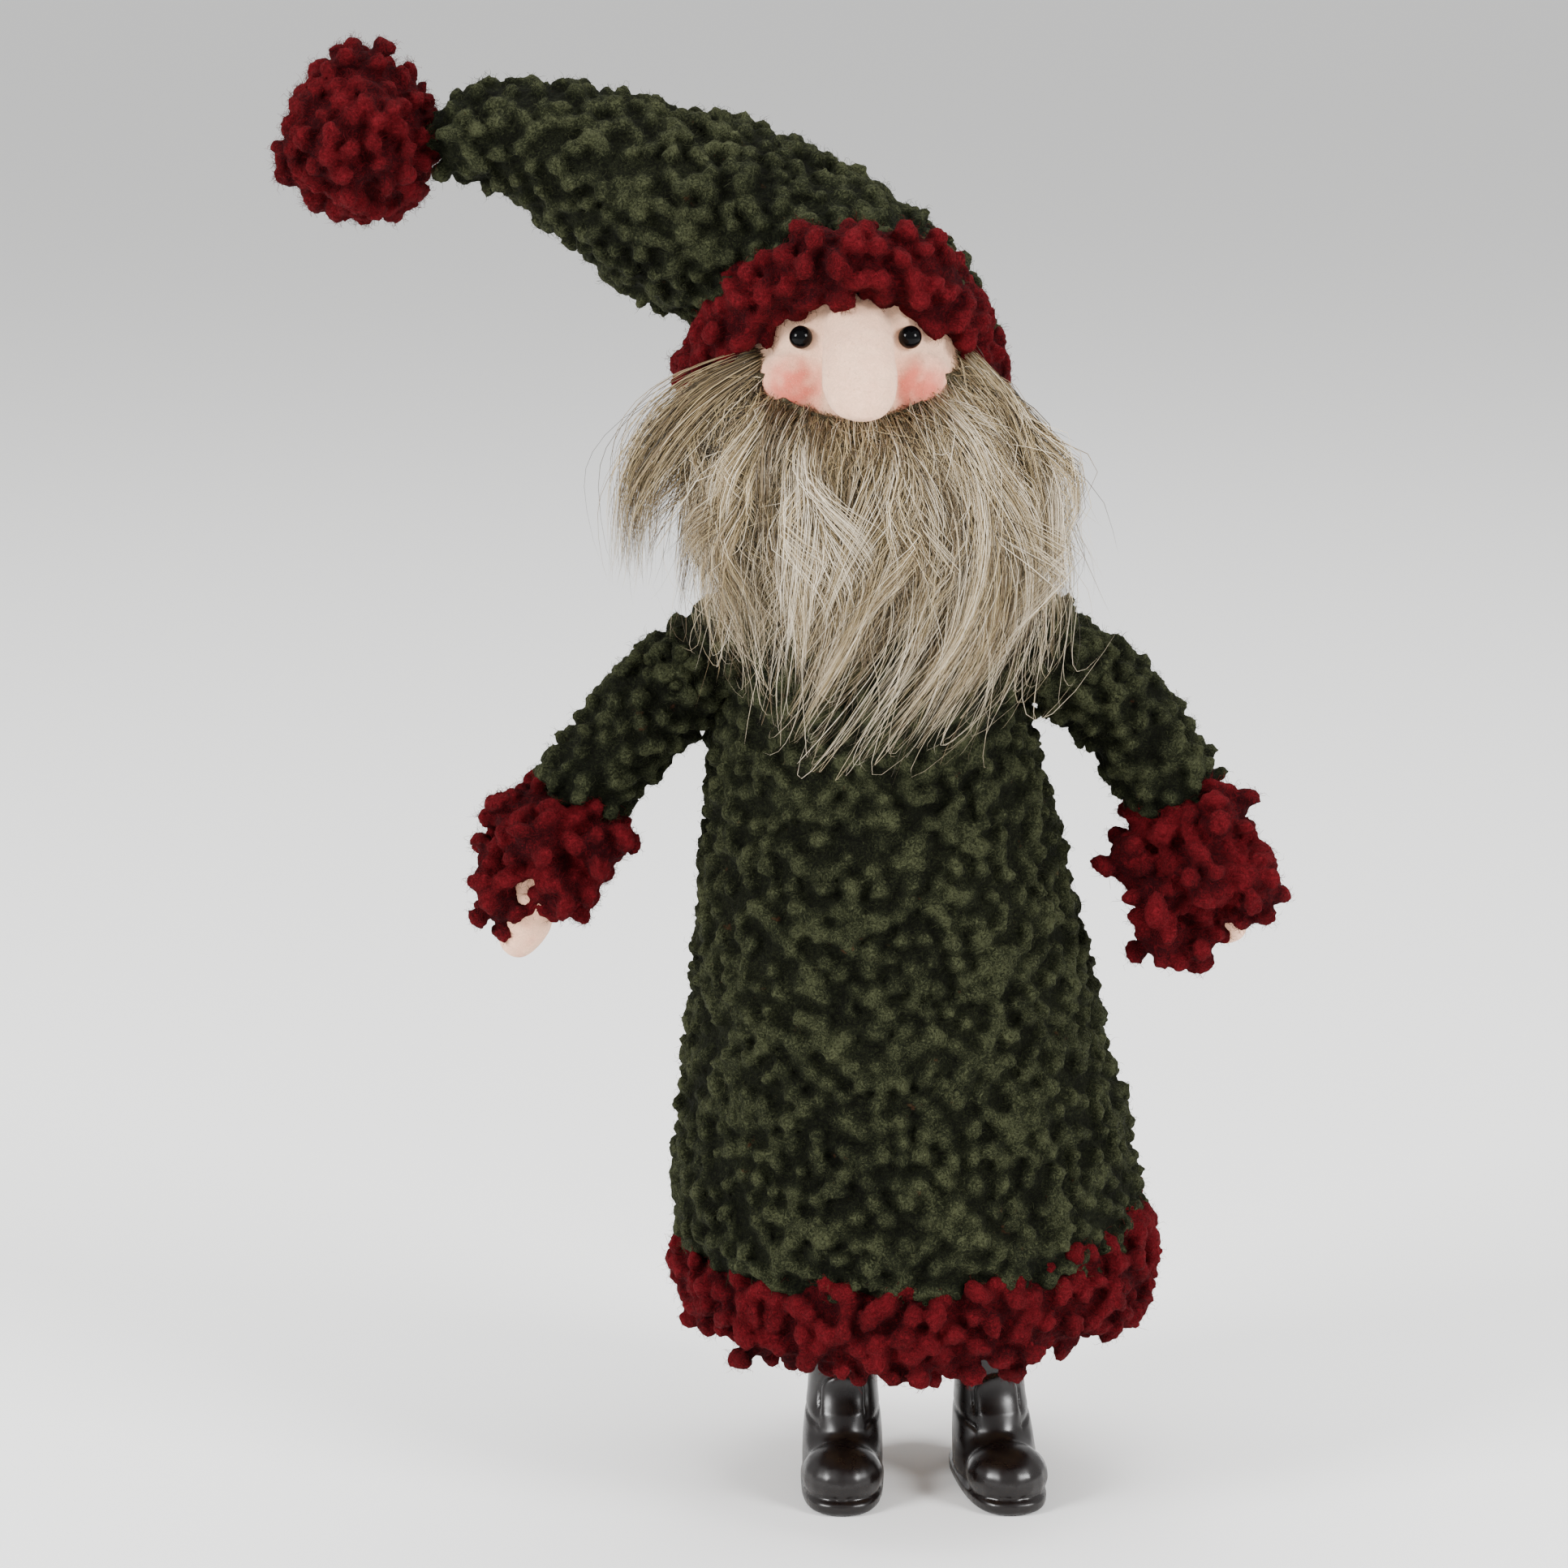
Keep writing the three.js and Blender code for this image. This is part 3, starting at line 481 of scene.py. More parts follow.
def total(tree, *sockets):
    """Adds up sockets."""
    whole = sockets[0]
    for socket in sockets[1:]:
        whole = add_node(tree, "ShaderNodeMath", {0: whole, 1: socket}, operation="ADD").outputs[0]
    return whole


def mixed(tree, factor, first, second, kind="MIX"):
    """Mixes two colours; each is a socket or a colour."""
    made = add_node(tree, "ShaderNodeMix", {"Factor": factor}, data_type="RGBA", blend_type=kind)
    for place, shade in ((6, first), (7, second)):
        if isinstance(shade, bpy.types.NodeSocket):
            tree.links.new(shade, made.inputs[place])
        else:
            made.inputs[place].default_value = rgba(shade)
    return made.outputs[2]


def noise_node(tree, size, detail=3.0, rough=0.5, distortion=0.0):
    """Noise in object space with lumps of about that many millimetres."""
    place = add_node(tree, "ShaderNodeTexCoord")
    made = add_node(tree, "ShaderNodeTexNoise", {
        "Vector": place.outputs["Object"], "Scale": 1 / (size * 2 * MM), "Detail": detail, "Roughness": rough,
        "Distortion": distortion,
    })
    return made.outputs["Fac"]


def wool(name, dark, middle, light, specks=None):
    """Carded wool yarn: matt, hazy on top and streaked with fibres, with painted shade down between the curls
    and painted light that makes the curl tops paler.
    """
    material, tree = new_material(name)
    height = add_node(tree, "ShaderNodeAttribute", attribute_name="pile_height").outputs["Fac"]
    tone = add_node(tree, "ShaderNodeAttribute", attribute_name="pile_tone").outputs["Fac"]
    # single fibres catch more light than the matted curls
    loose = add_node(tree, "ShaderNodeAttribute", attribute_name="loose").outputs["Fac"]
    # matted fibres about 0.5 mm apart, wound round each other
    streaks = noise_node(tree, 0.55, 5.0, 0.75, 2.5)
    # uneven dyeing of the cloth
    patches = noise_node(tree, 8, 2.0)
    # painted shade and light: the pile height darkens the colour down in the gaps between the curls and
    # lightens it on their tops; streaks, tone and patches are the wool's own unevenness, and loose fibres get
    # a painted highlight
    value = total(
        tree,
        scaled(tree, height, 0.1, 0.95, 0.05, 0.5),
        scaled(tree, streaks, 0.36, 0.64, -0.3, 0.42),
        scaled(tree, tone, 0.0, 1.0, -0.07, 0.1),
        scaled(tree, patches, 0.3, 0.7, -0.06, 0.08),
        scaled(tree, loose, 0.0, 1.4, 0.0, 0.5),
    )
    # dark is painted shade down in the pile, middle is the wool's body colour, light is paler fibre and
    # painted light on the tops
    tint = ramp(tree, value, [(0.0, dark), (0.85, light), (0.4, middle)])
    if specks:
        # burrs of brown wool carded in with the green
        tint = mixed(tree, scaled(tree, noise_node(tree, 2.6, 3.0, 0.75), 0.68, 0.76, 0.0, 0.5), tint, specks)
    bump = add_node(tree, "ShaderNodeBump", {"Height": streaks, "Strength": 1.0, "Distance": 0.6 * MM})
    shader = add_node(tree, "ShaderNodeBsdfPrincipled", {
        "Base Color": tint, "Roughness": 0.95, "Specular IOR Level": 0.08,
        "Sheen Weight": 0.06, "Sheen Roughness": 0.5, "Sheen Tint": rgba(light), "Normal": bump.outputs[0],
    })
    close_material(tree, shader)
    return material


def beard_hair(name, dark, middle, light):
    """Modacrylic fur fibre: smooth, slightly glossy along each hair, every hair its own shade, with painted
    shade darkening each hair towards its root.
    """
    material, tree = new_material(name)
    tone = add_node(tree, "ShaderNodeAttribute", attribute_name="strand_tone")
    along = add_node(tree, "ShaderNodeAttribute", attribute_name="strand_along")
    straw = linear("#b39f76")
    tint = ramp(tree, tone.outputs["Fac"], [(0.0, dark), (1.0, light), (0.32, middle), (0.66, straw)])
    # painted shade: the colour darkens over the first 0.3 of each hair's way, towards the root, where the
    # hairs above shade it
    shadow = scaled(tree, along.outputs["Fac"], 0.0, 0.3, 0.62, 1.0)
    deeper = mixed(tree, 1.0, tint, shadow, "MULTIPLY")
    shader = add_node(tree, "ShaderNodeBsdfPrincipled", {
        "Base Color": deeper, "Roughness": 0.42, "Specular IOR Level": 0.45,
    })
    close_material(tree, shader)
    return material


def needle_felt(name, skin, blush):
    """Needle-felted wool: soft matt surface of matted fibres, with colour rubbed into the cheeks."""
    material, tree = new_material(name)
    rub = add_node(tree, "ShaderNodeAttribute", attribute_name="blush")
    # matted fibres: 0.5 mm
    matting = noise_node(tree, 0.5, 5.0, 0.75, 2.0)
    tint = mixed(tree, rub.outputs["Fac"], skin, blush)
    mottle = scaled(tree, matting, 0.3, 0.7, 0.76, 1.08)
    worn = mixed(tree, 1.0, tint, mottle, "MULTIPLY")
    bump = add_node(tree, "ShaderNodeBump", {"Height": matting, "Strength": 0.8, "Distance": 0.3 * MM})
    shader = add_node(tree, "ShaderNodeBsdfPrincipled", {
        "Base Color": worn, "Roughness": 0.9, "Specular IOR Level": 0.2, "Sheen Weight": 0.2,
        "Sheen Roughness": 0.6, "Normal": bump.outputs[0],
    })
    close_material(tree, shader)
    return material


def moulded_vinyl(name, shade):
    """Injection-moulded vinyl: a smooth dark skin with a soft gloss and faint waviness from the mould."""
    material, tree = new_material(name)
    # slow waviness of a small moulding: 3 mm from wave to wave
    waves = noise_node(tree, 1.5, 2.0)
    smears = scaled(tree, waves, 0.3, 0.7, 0.24, 0.36)
    bump = add_node(tree, "ShaderNodeBump", {"Height": waves, "Strength": 0.12, "Distance": 0.2 * MM})
    shader = add_node(tree, "ShaderNodeBsdfPrincipled", {
        "Base Color": rgba(shade), "Roughness": smears, "IOR": 1.5, "Specular IOR Level": 0.4,
        "Normal": bump.outputs[0],
    })
    close_material(tree, shader)
    return material


def black_glass(name):
    """Pressed glass bead: opaque black with a sharp polished highlight."""
    material, tree = new_material(name)
    shader = add_node(tree, "ShaderNodeBsdfPrincipled", {
        "Base Color": rgba(linear("#050506")), "Roughness": 0.06, "IOR": 1.42, "Specular IOR Level": 0.12,
    })
    close_material(tree, shader)
    return material


def plain_wood(name, pale, dark):
    """Unfinished turned wood: straight grain lines along Z, dry and matt."""
    material, tree = new_material(name)
    place = add_node(tree, "ShaderNodeTexCoord")
    stretched = add_node(tree, "ShaderNodeMapping", {
        "Vector": place.outputs["Object"], "Scale": (1, 1, 0.08),
    })
    # grain lines: 0.8 mm apart
    grain = add_node(tree, "ShaderNodeTexNoise", {
        "Vector": stretched.outputs[0], "Scale": 1 / (0.8 * MM), "Detail": 3.0,
    })
    tint = ramp(tree, grain.outputs["Fac"], [(0.3, dark), (0.7, pale)])
    shader = add_node(tree, "ShaderNodeBsdfPrincipled", {"Base Color": tint, "Roughness": 0.7})
    close_material(tree, shader)
    return material


def soft_wire(name):
    """Annealed steel wire: dull grey with drawing marks along it."""
    material, tree = new_material(name)
    # drawing marks: 0.3 mm apart
    rough = scaled(tree, noise_node(tree, 0.15, 2.0), 0.0, 1.0, 0.3, 0.5)
    shader = add_node(tree, "ShaderNodeBsdfPrincipled", {
        "Base Color": rgba(linear("#8c8f92")), "Metallic": 1.0, "Roughness": rough,
    })
    close_material(tree, shader)
    return material


def wadding(name):
    """Loose polyester filling: white, matt, cloudy."""
    material, tree = new_material(name)
    # tufts of filling: 4 mm apart
    clouds = noise_node(tree, 2, 5.0)
    tint = ramp(tree, clouds, [(0.3, linear("#cfcabd")), (0.7, linear("#efece4"))])
    shader = add_node(tree, "ShaderNodeBsdfPrincipled", {"Base Color": tint, "Roughness": 0.95})
    close_material(tree, shader)
    return material


def finish(piece, name):
    """Gives a piece one of the made materials."""
    piece.data.materials.clear()
    piece.data.materials.append(bpy.data.materials[name])


# ------------------------------------------------------------------ places shared by the pieces
def box_centre(node):
    low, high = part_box(node)
    return (low + high) / 2


HEAD = box_centre("head_core")
HEAD_RADIUS = (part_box("head_core")[1].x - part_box("head_core")[0].x) / 2
SIDE = {"left": -1, "right": 1}
# depth of the body over its width, and its sideways lean for each unit of height
DEPTH = 0.88
LEAN = 0.08
SHOULDER_HALF_WIDTH = 29.5 * MM
HEM_OVERHANG = 1.8 * MM


def pivot(name):
    return Vector(JOINTS[name]["pos_m"])


def woolly(piece, name, body, nodes=(), bend=None):
    """Material, CAD nodes and body of a wool piece. bend: (first body, second body, start, end); when given,
    the piece is only baked in place and attached to no body, and the tuple's contents are not used.
    """
    finish(piece, name)
    if nodes:
        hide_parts(*nodes)
    if bend:
        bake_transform(piece)
    else:
        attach(piece, body)


def coat_half_width(height):
    """Half width of the coat at a height, from its own box and the shoulders' height."""
    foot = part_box("coat")[0].z
    hem_low, hem_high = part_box("hem_trim")
    hem_half = (hem_high.x - hem_low.x) / 2 - HEM_OVERHANG
    shoulder = pivot("left_shoulder_bend").z
    share = min(max((height - foot) / (shoulder - foot), 0), 1.05)
    return hem_half + (SHOULDER_HALF_WIDTH - hem_half) * share


def coat_centre(height):
    """The body leans to -X as it rises."""
    base = box_centre("hem_trim")
    return Vector((base.x - LEAN * (height - base.z), 0, height))


# ------------------------------------------------------------------ operators
class GNOME_OT_materials(bpy.types.Operator):
    """Make every material and give the carried-over frame parts theirs"""

    bl_idname = "gnome.materials"
    bl_label = "Materials"

    def execute(self, context):
        paint = colours()
        wool("green_boucle_wool", paint.green_dark, paint.green_mid, paint.green_light, linear("#4a2a1a"))
        wool("red_boucle_wool", paint.red_dark, paint.red_mid, paint.red_light)
        beard_hair("beard_fur_fibre", paint.hair_dark, paint.hair_mid, paint.hair_light)
        needle_felt("needle_felted_skin", paint.skin, paint.blush)
        moulded_vinyl("moulded_boot_vinyl", paint.boot)
        black_glass("black_glass_bead")
        plain_wood("turned_beech", linear("#c39a68"), linear("#9c7547"))
        soft_wire("annealed_wire")
        wadding("polyester_wadding")
        # the backing knit gets the same painted shade in its gaps and painted light on its curl tops from the
        # pile height
        wool("fur_backing_knit", linear("#3d3627"), linear("#6f6550"), linear("#8f8468"))
        carried = {
            "leg_dowel_left": "turned_beech", "leg_dowel_right": "turned_beech", "base_disc": "turned_beech",
            "shoulder_wire": "annealed_wire",
            "hat_wire_lower": "annealed_wire", "hat_wire_tip": "annealed_wire",
            "arm_wire_upper_left": "annealed_wire", "arm_wire_upper_right": "annealed_wire",
            "arm_wire_lower_left": "annealed_wire", "arm_wire_lower_right": "annealed_wire",
            "hat_wadding": "polyester_wadding",
            "head_core": "polyester_wadding", "beard_backing": "fur_backing_knit",
        }
        for node, material in carried.items():
            for place in frame["nodes"][node].material_slots:
                place.material = bpy.data.materials[material]
        return {"FINISHED"}


class GNOME_OT_coat(bpy.types.Operator):
    """Make the long green bouclé coat"""

    bl_idname = "gnome.coat"
    bl_label = "Coat"

    def execute(self, context):
        low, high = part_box("coat")
        shoulder = pivot("left_shoulder_bend").z
        inset = 1.9 * MM
        rings = []
        # the raw edge is turned in behind the hem band
        for share, size in ((-0.1, 0.88), (-0.05, 0.95), (0.0, 0.99), (0.06, 1.0), (0.2, 1.0), (0.4, 1.0),
                            (0.6, 1.0), (0.8, 1.0), (1.0, 1.0)):
            height = low.z + (shoulder - low.z) * share
            half = coat_half_width(height) * size - inset
            rings.append(Ring(coat_centre(height), half, half * DEPTH))
        top = high.z + 4 * MM
        for share, size in ((0.4, 0.95), (0.72, 0.8), (0.9, 0.62), (1.0, 0.4)):
            height = shoulder + (top - shoulder) * share
            half = coat_half_width(shoulder) * size - inset
            rings.append(Ring(coat_centre(height), half, half * DEPTH))
        cloth = 3 * MM
        inner = [Ring(ring.centre, ring.wide - cloth, ring.deep - cloth) for ring in rings]
        stuffing = ring_form("body_stuffing", inner, 36)
        rounded(stuffing)
        finish(stuffing, "polyester_wadding")
        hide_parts("body_wadding")
        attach(stuffing, "figure")
        coat = ring_form("coat_boucle", rings, 36)
        rounded(coat)
        even_skin(coat, 1.7 * MM)
        unevenness(coat, (1.2, 30), (0.6, 11))
        coat = add_pile(coat, sizes().green_gap, sizes().green_curl, 0.85 * MM, 11)
        woolly(coat, "green_boucle_wool", "figure", ["coat"])
        for half in ("front", "back"):
            loose = fuzz(f"coat_fuzz_{half}", coat, 6200, sizes().fuzz, sizes().fibre, 0.8, len(half))
            woolly(loose, "green_boucle_wool", "figure")
        return {"FINISHED"}


def unevenness(piece, *waves):
    """Lets a stuffed form swell and sink. Each wave: height and size in millimetres."""
    for number, (height, size) in enumerate(waves):
        spots = points_of(piece)
        push = height * MM * (lumps(spots, size * MM, 3.0 + number) + 0.35).clip(-0.25, 1)
        move_points(piece, spots + normals_of(piece) * push[:, None])


def lump(centre, half):
    """A small rounded lump of cloth, to be grown together with the form it sits on."""
    deselect()
    bpy.ops.mesh.primitive_uv_sphere_add(segments=16, ring_count=10, radius=1.0, location=(0, 0, 0))
    made = bpy.context.object
    bpy.ops.object.mode_set(mode="EDIT")
    bpy.ops.mesh.select_all(action="SELECT")
    bpy.ops.transform.resize(value=Vector(half) * MM, center_override=(0, 0, 0))
    bpy.ops.transform.translate(value=centre)
    bpy.ops.object.mode_set(mode="OBJECT")
    return made


def wool_band(name, path, thick, lean):
    """A soft ring of cloth, made from a torus. path gives, for a turn round the body, the middle of the
    band and half its height there; lean tips its upper edge inwards."""
    sides = 96
    deselect()
    bpy.ops.mesh.primitive_torus_add(
        major_segments=sides, minor_segments=16, major_radius=1.0, minor_radius=0.25, location=(0, 0, 0)
    )
    band = bpy.context.object
    band.name = name
    band.data.name = name
    spots = points_of(band)
    out = (np.hypot(spots[:, 0], spots[:, 1]) - 1) / 0.25 * thick / 2
    up = spots[:, 2] / 0.25
    angle = np.arctan2(spots[:, 1], spots[:, 0])
    middle, half = path(angle)
    outward = np.stack([np.cos(angle), np.sin(angle), np.zeros(len(angle))], axis=1)
    rise = np.array([0, 0, math.cos(lean)]) - outward * math.sin(lean)
    away = outward * math.cos(lean) + np.array([0, 0, math.sin(lean)])
    move_points(band, middle + rise * (up * half)[:, None] + away * out[:, None])
    return band


class GNOME_OT_hem(bpy.types.Operator):
    """Make the red curly band along the coat's lower edge"""

    bl_idname = "gnome.hem"
    bl_label = "Hem band"

    def execute(self, context):
        low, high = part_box("hem_trim")
        centre = (low + high) / 2
        wide = (high.x - low.x) / 2 - 6.9 * MM
        deep = wide * DEPTH

        def path(angle):
            # the band was sewn on unevenly: it climbs and widens towards the figure's left
            x = np.cos(angle)
            top = high.z + (-1.5 + 2.0 * x + 4.5 * np.clip(x, 0, 1) ** 3 - 2.0 * np.clip(-x, 0, 1) ** 2) * MM
            bottom = low.z + (1.0 + 1.6 * x ** 2) * MM
            middle = np.stack([
                centre.x + wide * x - LEAN * (top + bottom - 2 * centre.z) / 2,
                centre.y + deep * np.sin(angle),
                (top + bottom) / 2,
            ], axis=1)
            return middle, (top - bottom) / 2 - 1.5 * MM

        band = wool_band("hem_boucle", path, 5.5 * MM, math.radians(3))
        rng = np.random.default_rng(23)
        forms = [band]
        for _ in range(46):
            turn_at = rng.uniform(0, 2 * math.pi)
            middle, half = path(np.array([turn_at]))
            place = Vector(middle[0]) - Vector((0, 0, half[0] + rng.uniform(-1.5, 1.2) * MM))
            size = rng.uniform(1.8, 3.2)
            forms.append(lump(place, (size, size, size * rng.uniform(0.9, 1.5))))
        hem = join_forms("hem_boucle", forms)
        even_skin(hem, 1.4 * MM)
        unevenness(hem, (1.0, 13), (0.6, 6))
        hem = add_pile(hem, sizes().red_gap, sizes().red_curl, 0.75 * MM, 21, longer=0.8, ragged=1.4 * MM)
        woolly(hem, "red_boucle_wool", "figure", ["hem_trim"])
        loose = fuzz("hem_fuzz", hem, 6500, sizes().fuzz * 1.15, sizes().fibre, 1.0, 22)
        woolly(loose, "red_boucle_wool", "figure")
        return {"FINISHED"}


class GNOME_OT_arms(bpy.types.Operator):
    """Make the sleeves, cuffs and felted hands"""

    bl_idname = "gnome.arms"
    bl_label = "Arms"

    def execute(self, context):
        for side, sign in SIDE.items():
            shoulder = pivot(f"{side}_shoulder_bend")
            elbow = pivot(f"{side}_elbow_bend")
            sleeve_low, sleeve_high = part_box(f"sleeve_lower_{side}")
            wrist = Vector((
                (sleeve_low if sign < 0 else sleeve_high).x - sign * 8.2 * MM, elbow.y, sleeve_low.z + 3 * MM,
            ))
            self.make_sleeve(side, sign, shoulder, elbow, wrist)
            self.make_cuff(side, sign)
            self.make_hand(side, sign)
        return {"FINISHED"}

    def make_sleeve(self, side, sign, shoulder, elbow, wrist):
        middle = shoulder.lerp(elbow, 0.5)
        inner = shoulder + (shoulder - elbow) * 0.4
        end = wrist + (wrist - elbow).normalized() * 5 * MM
        size = 8.7 * MM
        ways = {
            "upper": [inner, shoulder, middle, shoulder.lerp(elbow, 0.66)],
            "lower": [shoulder.lerp(elbow, 0.36), middle, elbow, elbow.lerp(wrist, 0.5), wrist, end],
        }
        for part, way in ways.items():
            rings = []
            for i, spot in enumerate(way):
                step = way[min(i + 1, len(way) - 1)] - way[max(i - 1, 0)]
                rings.append(Ring(spot, size, size, (step.x, step.z)))
            sleeve = ring_form(f"sleeve_{part}_boucle_{side}", rings, 20)
            rounded(sleeve)
            even_skin(sleeve, 1.4 * MM)
            unevenness(sleeve, (0.8, 11))
            seed = 31 + 2 * sign + (5 if part == "upper" else 0)
            sleeve = add_pile(sleeve, sizes().green_gap, sizes().green_curl, 0.75 * MM, seed)
            loose = fuzz(f"sleeve_{part}_fuzz_{side}", sleeve, 1700, sizes().fuzz, sizes().fibre, 0.8, seed)
            bend = ("figure", f"arm_upper_{side}", inner, middle)
            if part == "lower":
                bend = (
                    f"arm_upper_{side}", f"arm_lower_{side}", middle.lerp(elbow, 0.2), elbow.lerp(wrist, 0.7),
                )
            woolly(sleeve, "green_boucle_wool", None, [f"sleeve_{part}_{side}"], bend)
            woolly(loose, "green_boucle_wool", None, (), bend)

    def make_cuff(self, side, sign):
        low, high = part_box(f"cuff_{side}")
        centre = (low + high) / 2 + Vector((-2.2, 0, -1.0 if sign < 0 else 0.5)) * MM
        half_long = (high.z - low.z) / 2 - 5.5 * MM
        way = Vector((sign * math.sin(math.radians(16)), 0, -math.cos(math.radians(16))))
        facing = (way.x, way.z)
        rings = [
            Ring(centre + way * (half_long * share), size * MM, size * MM, facing)
            for share, size in ((-1.0, 6.5), (-0.75, 9.4), (-0.2, 10.8), (0.35, 11.0), (0.8, 9.4), (1.0, 6.5))
        ]
        cuff = ring_form(f"cuff_boucle_{side}", rings, 20)
        rounded(cuff)
        # loose bunches of curls, in millimetres from the cuff's middle: outwards, forwards, up
        bunches = {
            "left": [(-10, -5, 5, 4.2), (7, -6, 6, 3.8), (-13.5, -8, 2, 2.8), (9, -9, -9, 4.6),
                     (-2, -11, -6, 4.2), (-9, -9, 2, 4.4), (10.5, -3, -2, 4.0), (2, -11, 4, 4.4)],
            "right": [(8, -5, 12, 2.6), (4, -6, 12, 3.6), (-13, -6, 3, 3.8), (11.5, -8, -4, 5.2),
                      (-6, -8, -14, 4.6), (0, -8, -16, 3.6), (1, -11, 0, 5.2), (-7, -9, -5, 4.2),
                      (4, -9, 9, 4.4)],
        }[side]
        forms = [cuff]
        for out, front, up, size in bunches:
            forms.append(lump(centre + Vector((sign * out, front, up)) * MM, (size, size, size)))
        cuff = join_forms(f"cuff_boucle_{side}", forms)
        even_skin(cuff, 1.2 * MM)
        unevenness(cuff, (1.0, 7))
        cuff = add_pile(
            cuff, sizes().red_gap, sizes().red_curl, 0.7 * MM, 41 + sign, longer=1.0, ragged=1.8 * MM
        )
        loose = fuzz(f"cuff_fuzz_{side}", cuff, 3400, sizes().fuzz * 1.2, sizes().fibre, 1.0, 43 + sign)
        body = f"arm_lower_{side}"
        woolly(cuff, "red_boucle_wool", body, [f"cuff_{side}"])
        woolly(loose, "red_boucle_wool", body)

    def make_hand(self, side, sign):
        low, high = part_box(f"hand_{side}")
        way = Vector((sign * math.sin(math.radians(20)), 0, -math.cos(math.radians(20))))
        tip = Vector(((low.x if sign < 0 else high.x) - sign * 5.2 * MM, (low.y + high.y) / 2 - 1 * MM,
                      low.z + 5.0 * MM))
        if sign < 0:
            tip += Vector((-2.2, -7.0, -2.4)) * MM
        rings = [
            Ring(tip - way * (back * MM), size * MM, size * MM * 0.85, (way.x, way.z))
            for back, size in ((20, 5.0), (10, 5.6), (5, 5.6), (0.5, 5.0), (-2.6, 3.8), (-4.6, 1.8))
        ]
        hand = ring_form(f"felt_hand_{side}", rings, 16)
        rounded(hand, 3)
        unevenness(hand, (0.3, 3))
        mark(hand, "blush", 0.1 + 0.3 * np.clip(lumps(points_of(hand), 2.5 * MM, 2.0), 0, 1))
        bpy.ops.object.shade_smooth()
        finish(hand, "needle_felted_skin")
        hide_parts(f"hand_{side}")
        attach(hand, f"arm_lower_{side}")


# Outline of the hat in head radii from the head's centre: inner edge, outer edge, front tilt, backward share.
HAT_EDGES = [
    ((-1.12, 0.03), (1.12, 0.03), 43, 0.0),
    ((-1.17, 0.17), (1.17, 0.17), 36, 0.0),
    ((-1.2, 0.24), (1.08, 0.66), 30, 0.15),
    ((-1.24, 0.33), (0.7, 1.1), 22, 0.3),
    ((-1.33, 0.42), (0.17, 1.55), 8, 0.6),
    ((-1.54, 0.45), (-0.42, 1.83), 0, 0.9),
    ((-1.81, 0.6), (-1.0, 2.0), 0, 1.0),
    ((-2.08, 0.77), (-1.58, 2.15), 0, 1.0),
    ((-2.35, 1.03), (-2.16, 2.26), 0, 1.0),
    ((-2.6, 1.23), (-2.62, 2.34), 0, 1.0),
    ((-2.88, 1.47), (-2.99, 2.33), 0, 1.0),
    ((-3.18, 1.58), (-3.28, 2.29), 0, 1.0),
    ((-3.42, 1.58), (-3.46, 2.16), 0, 1.0),
]


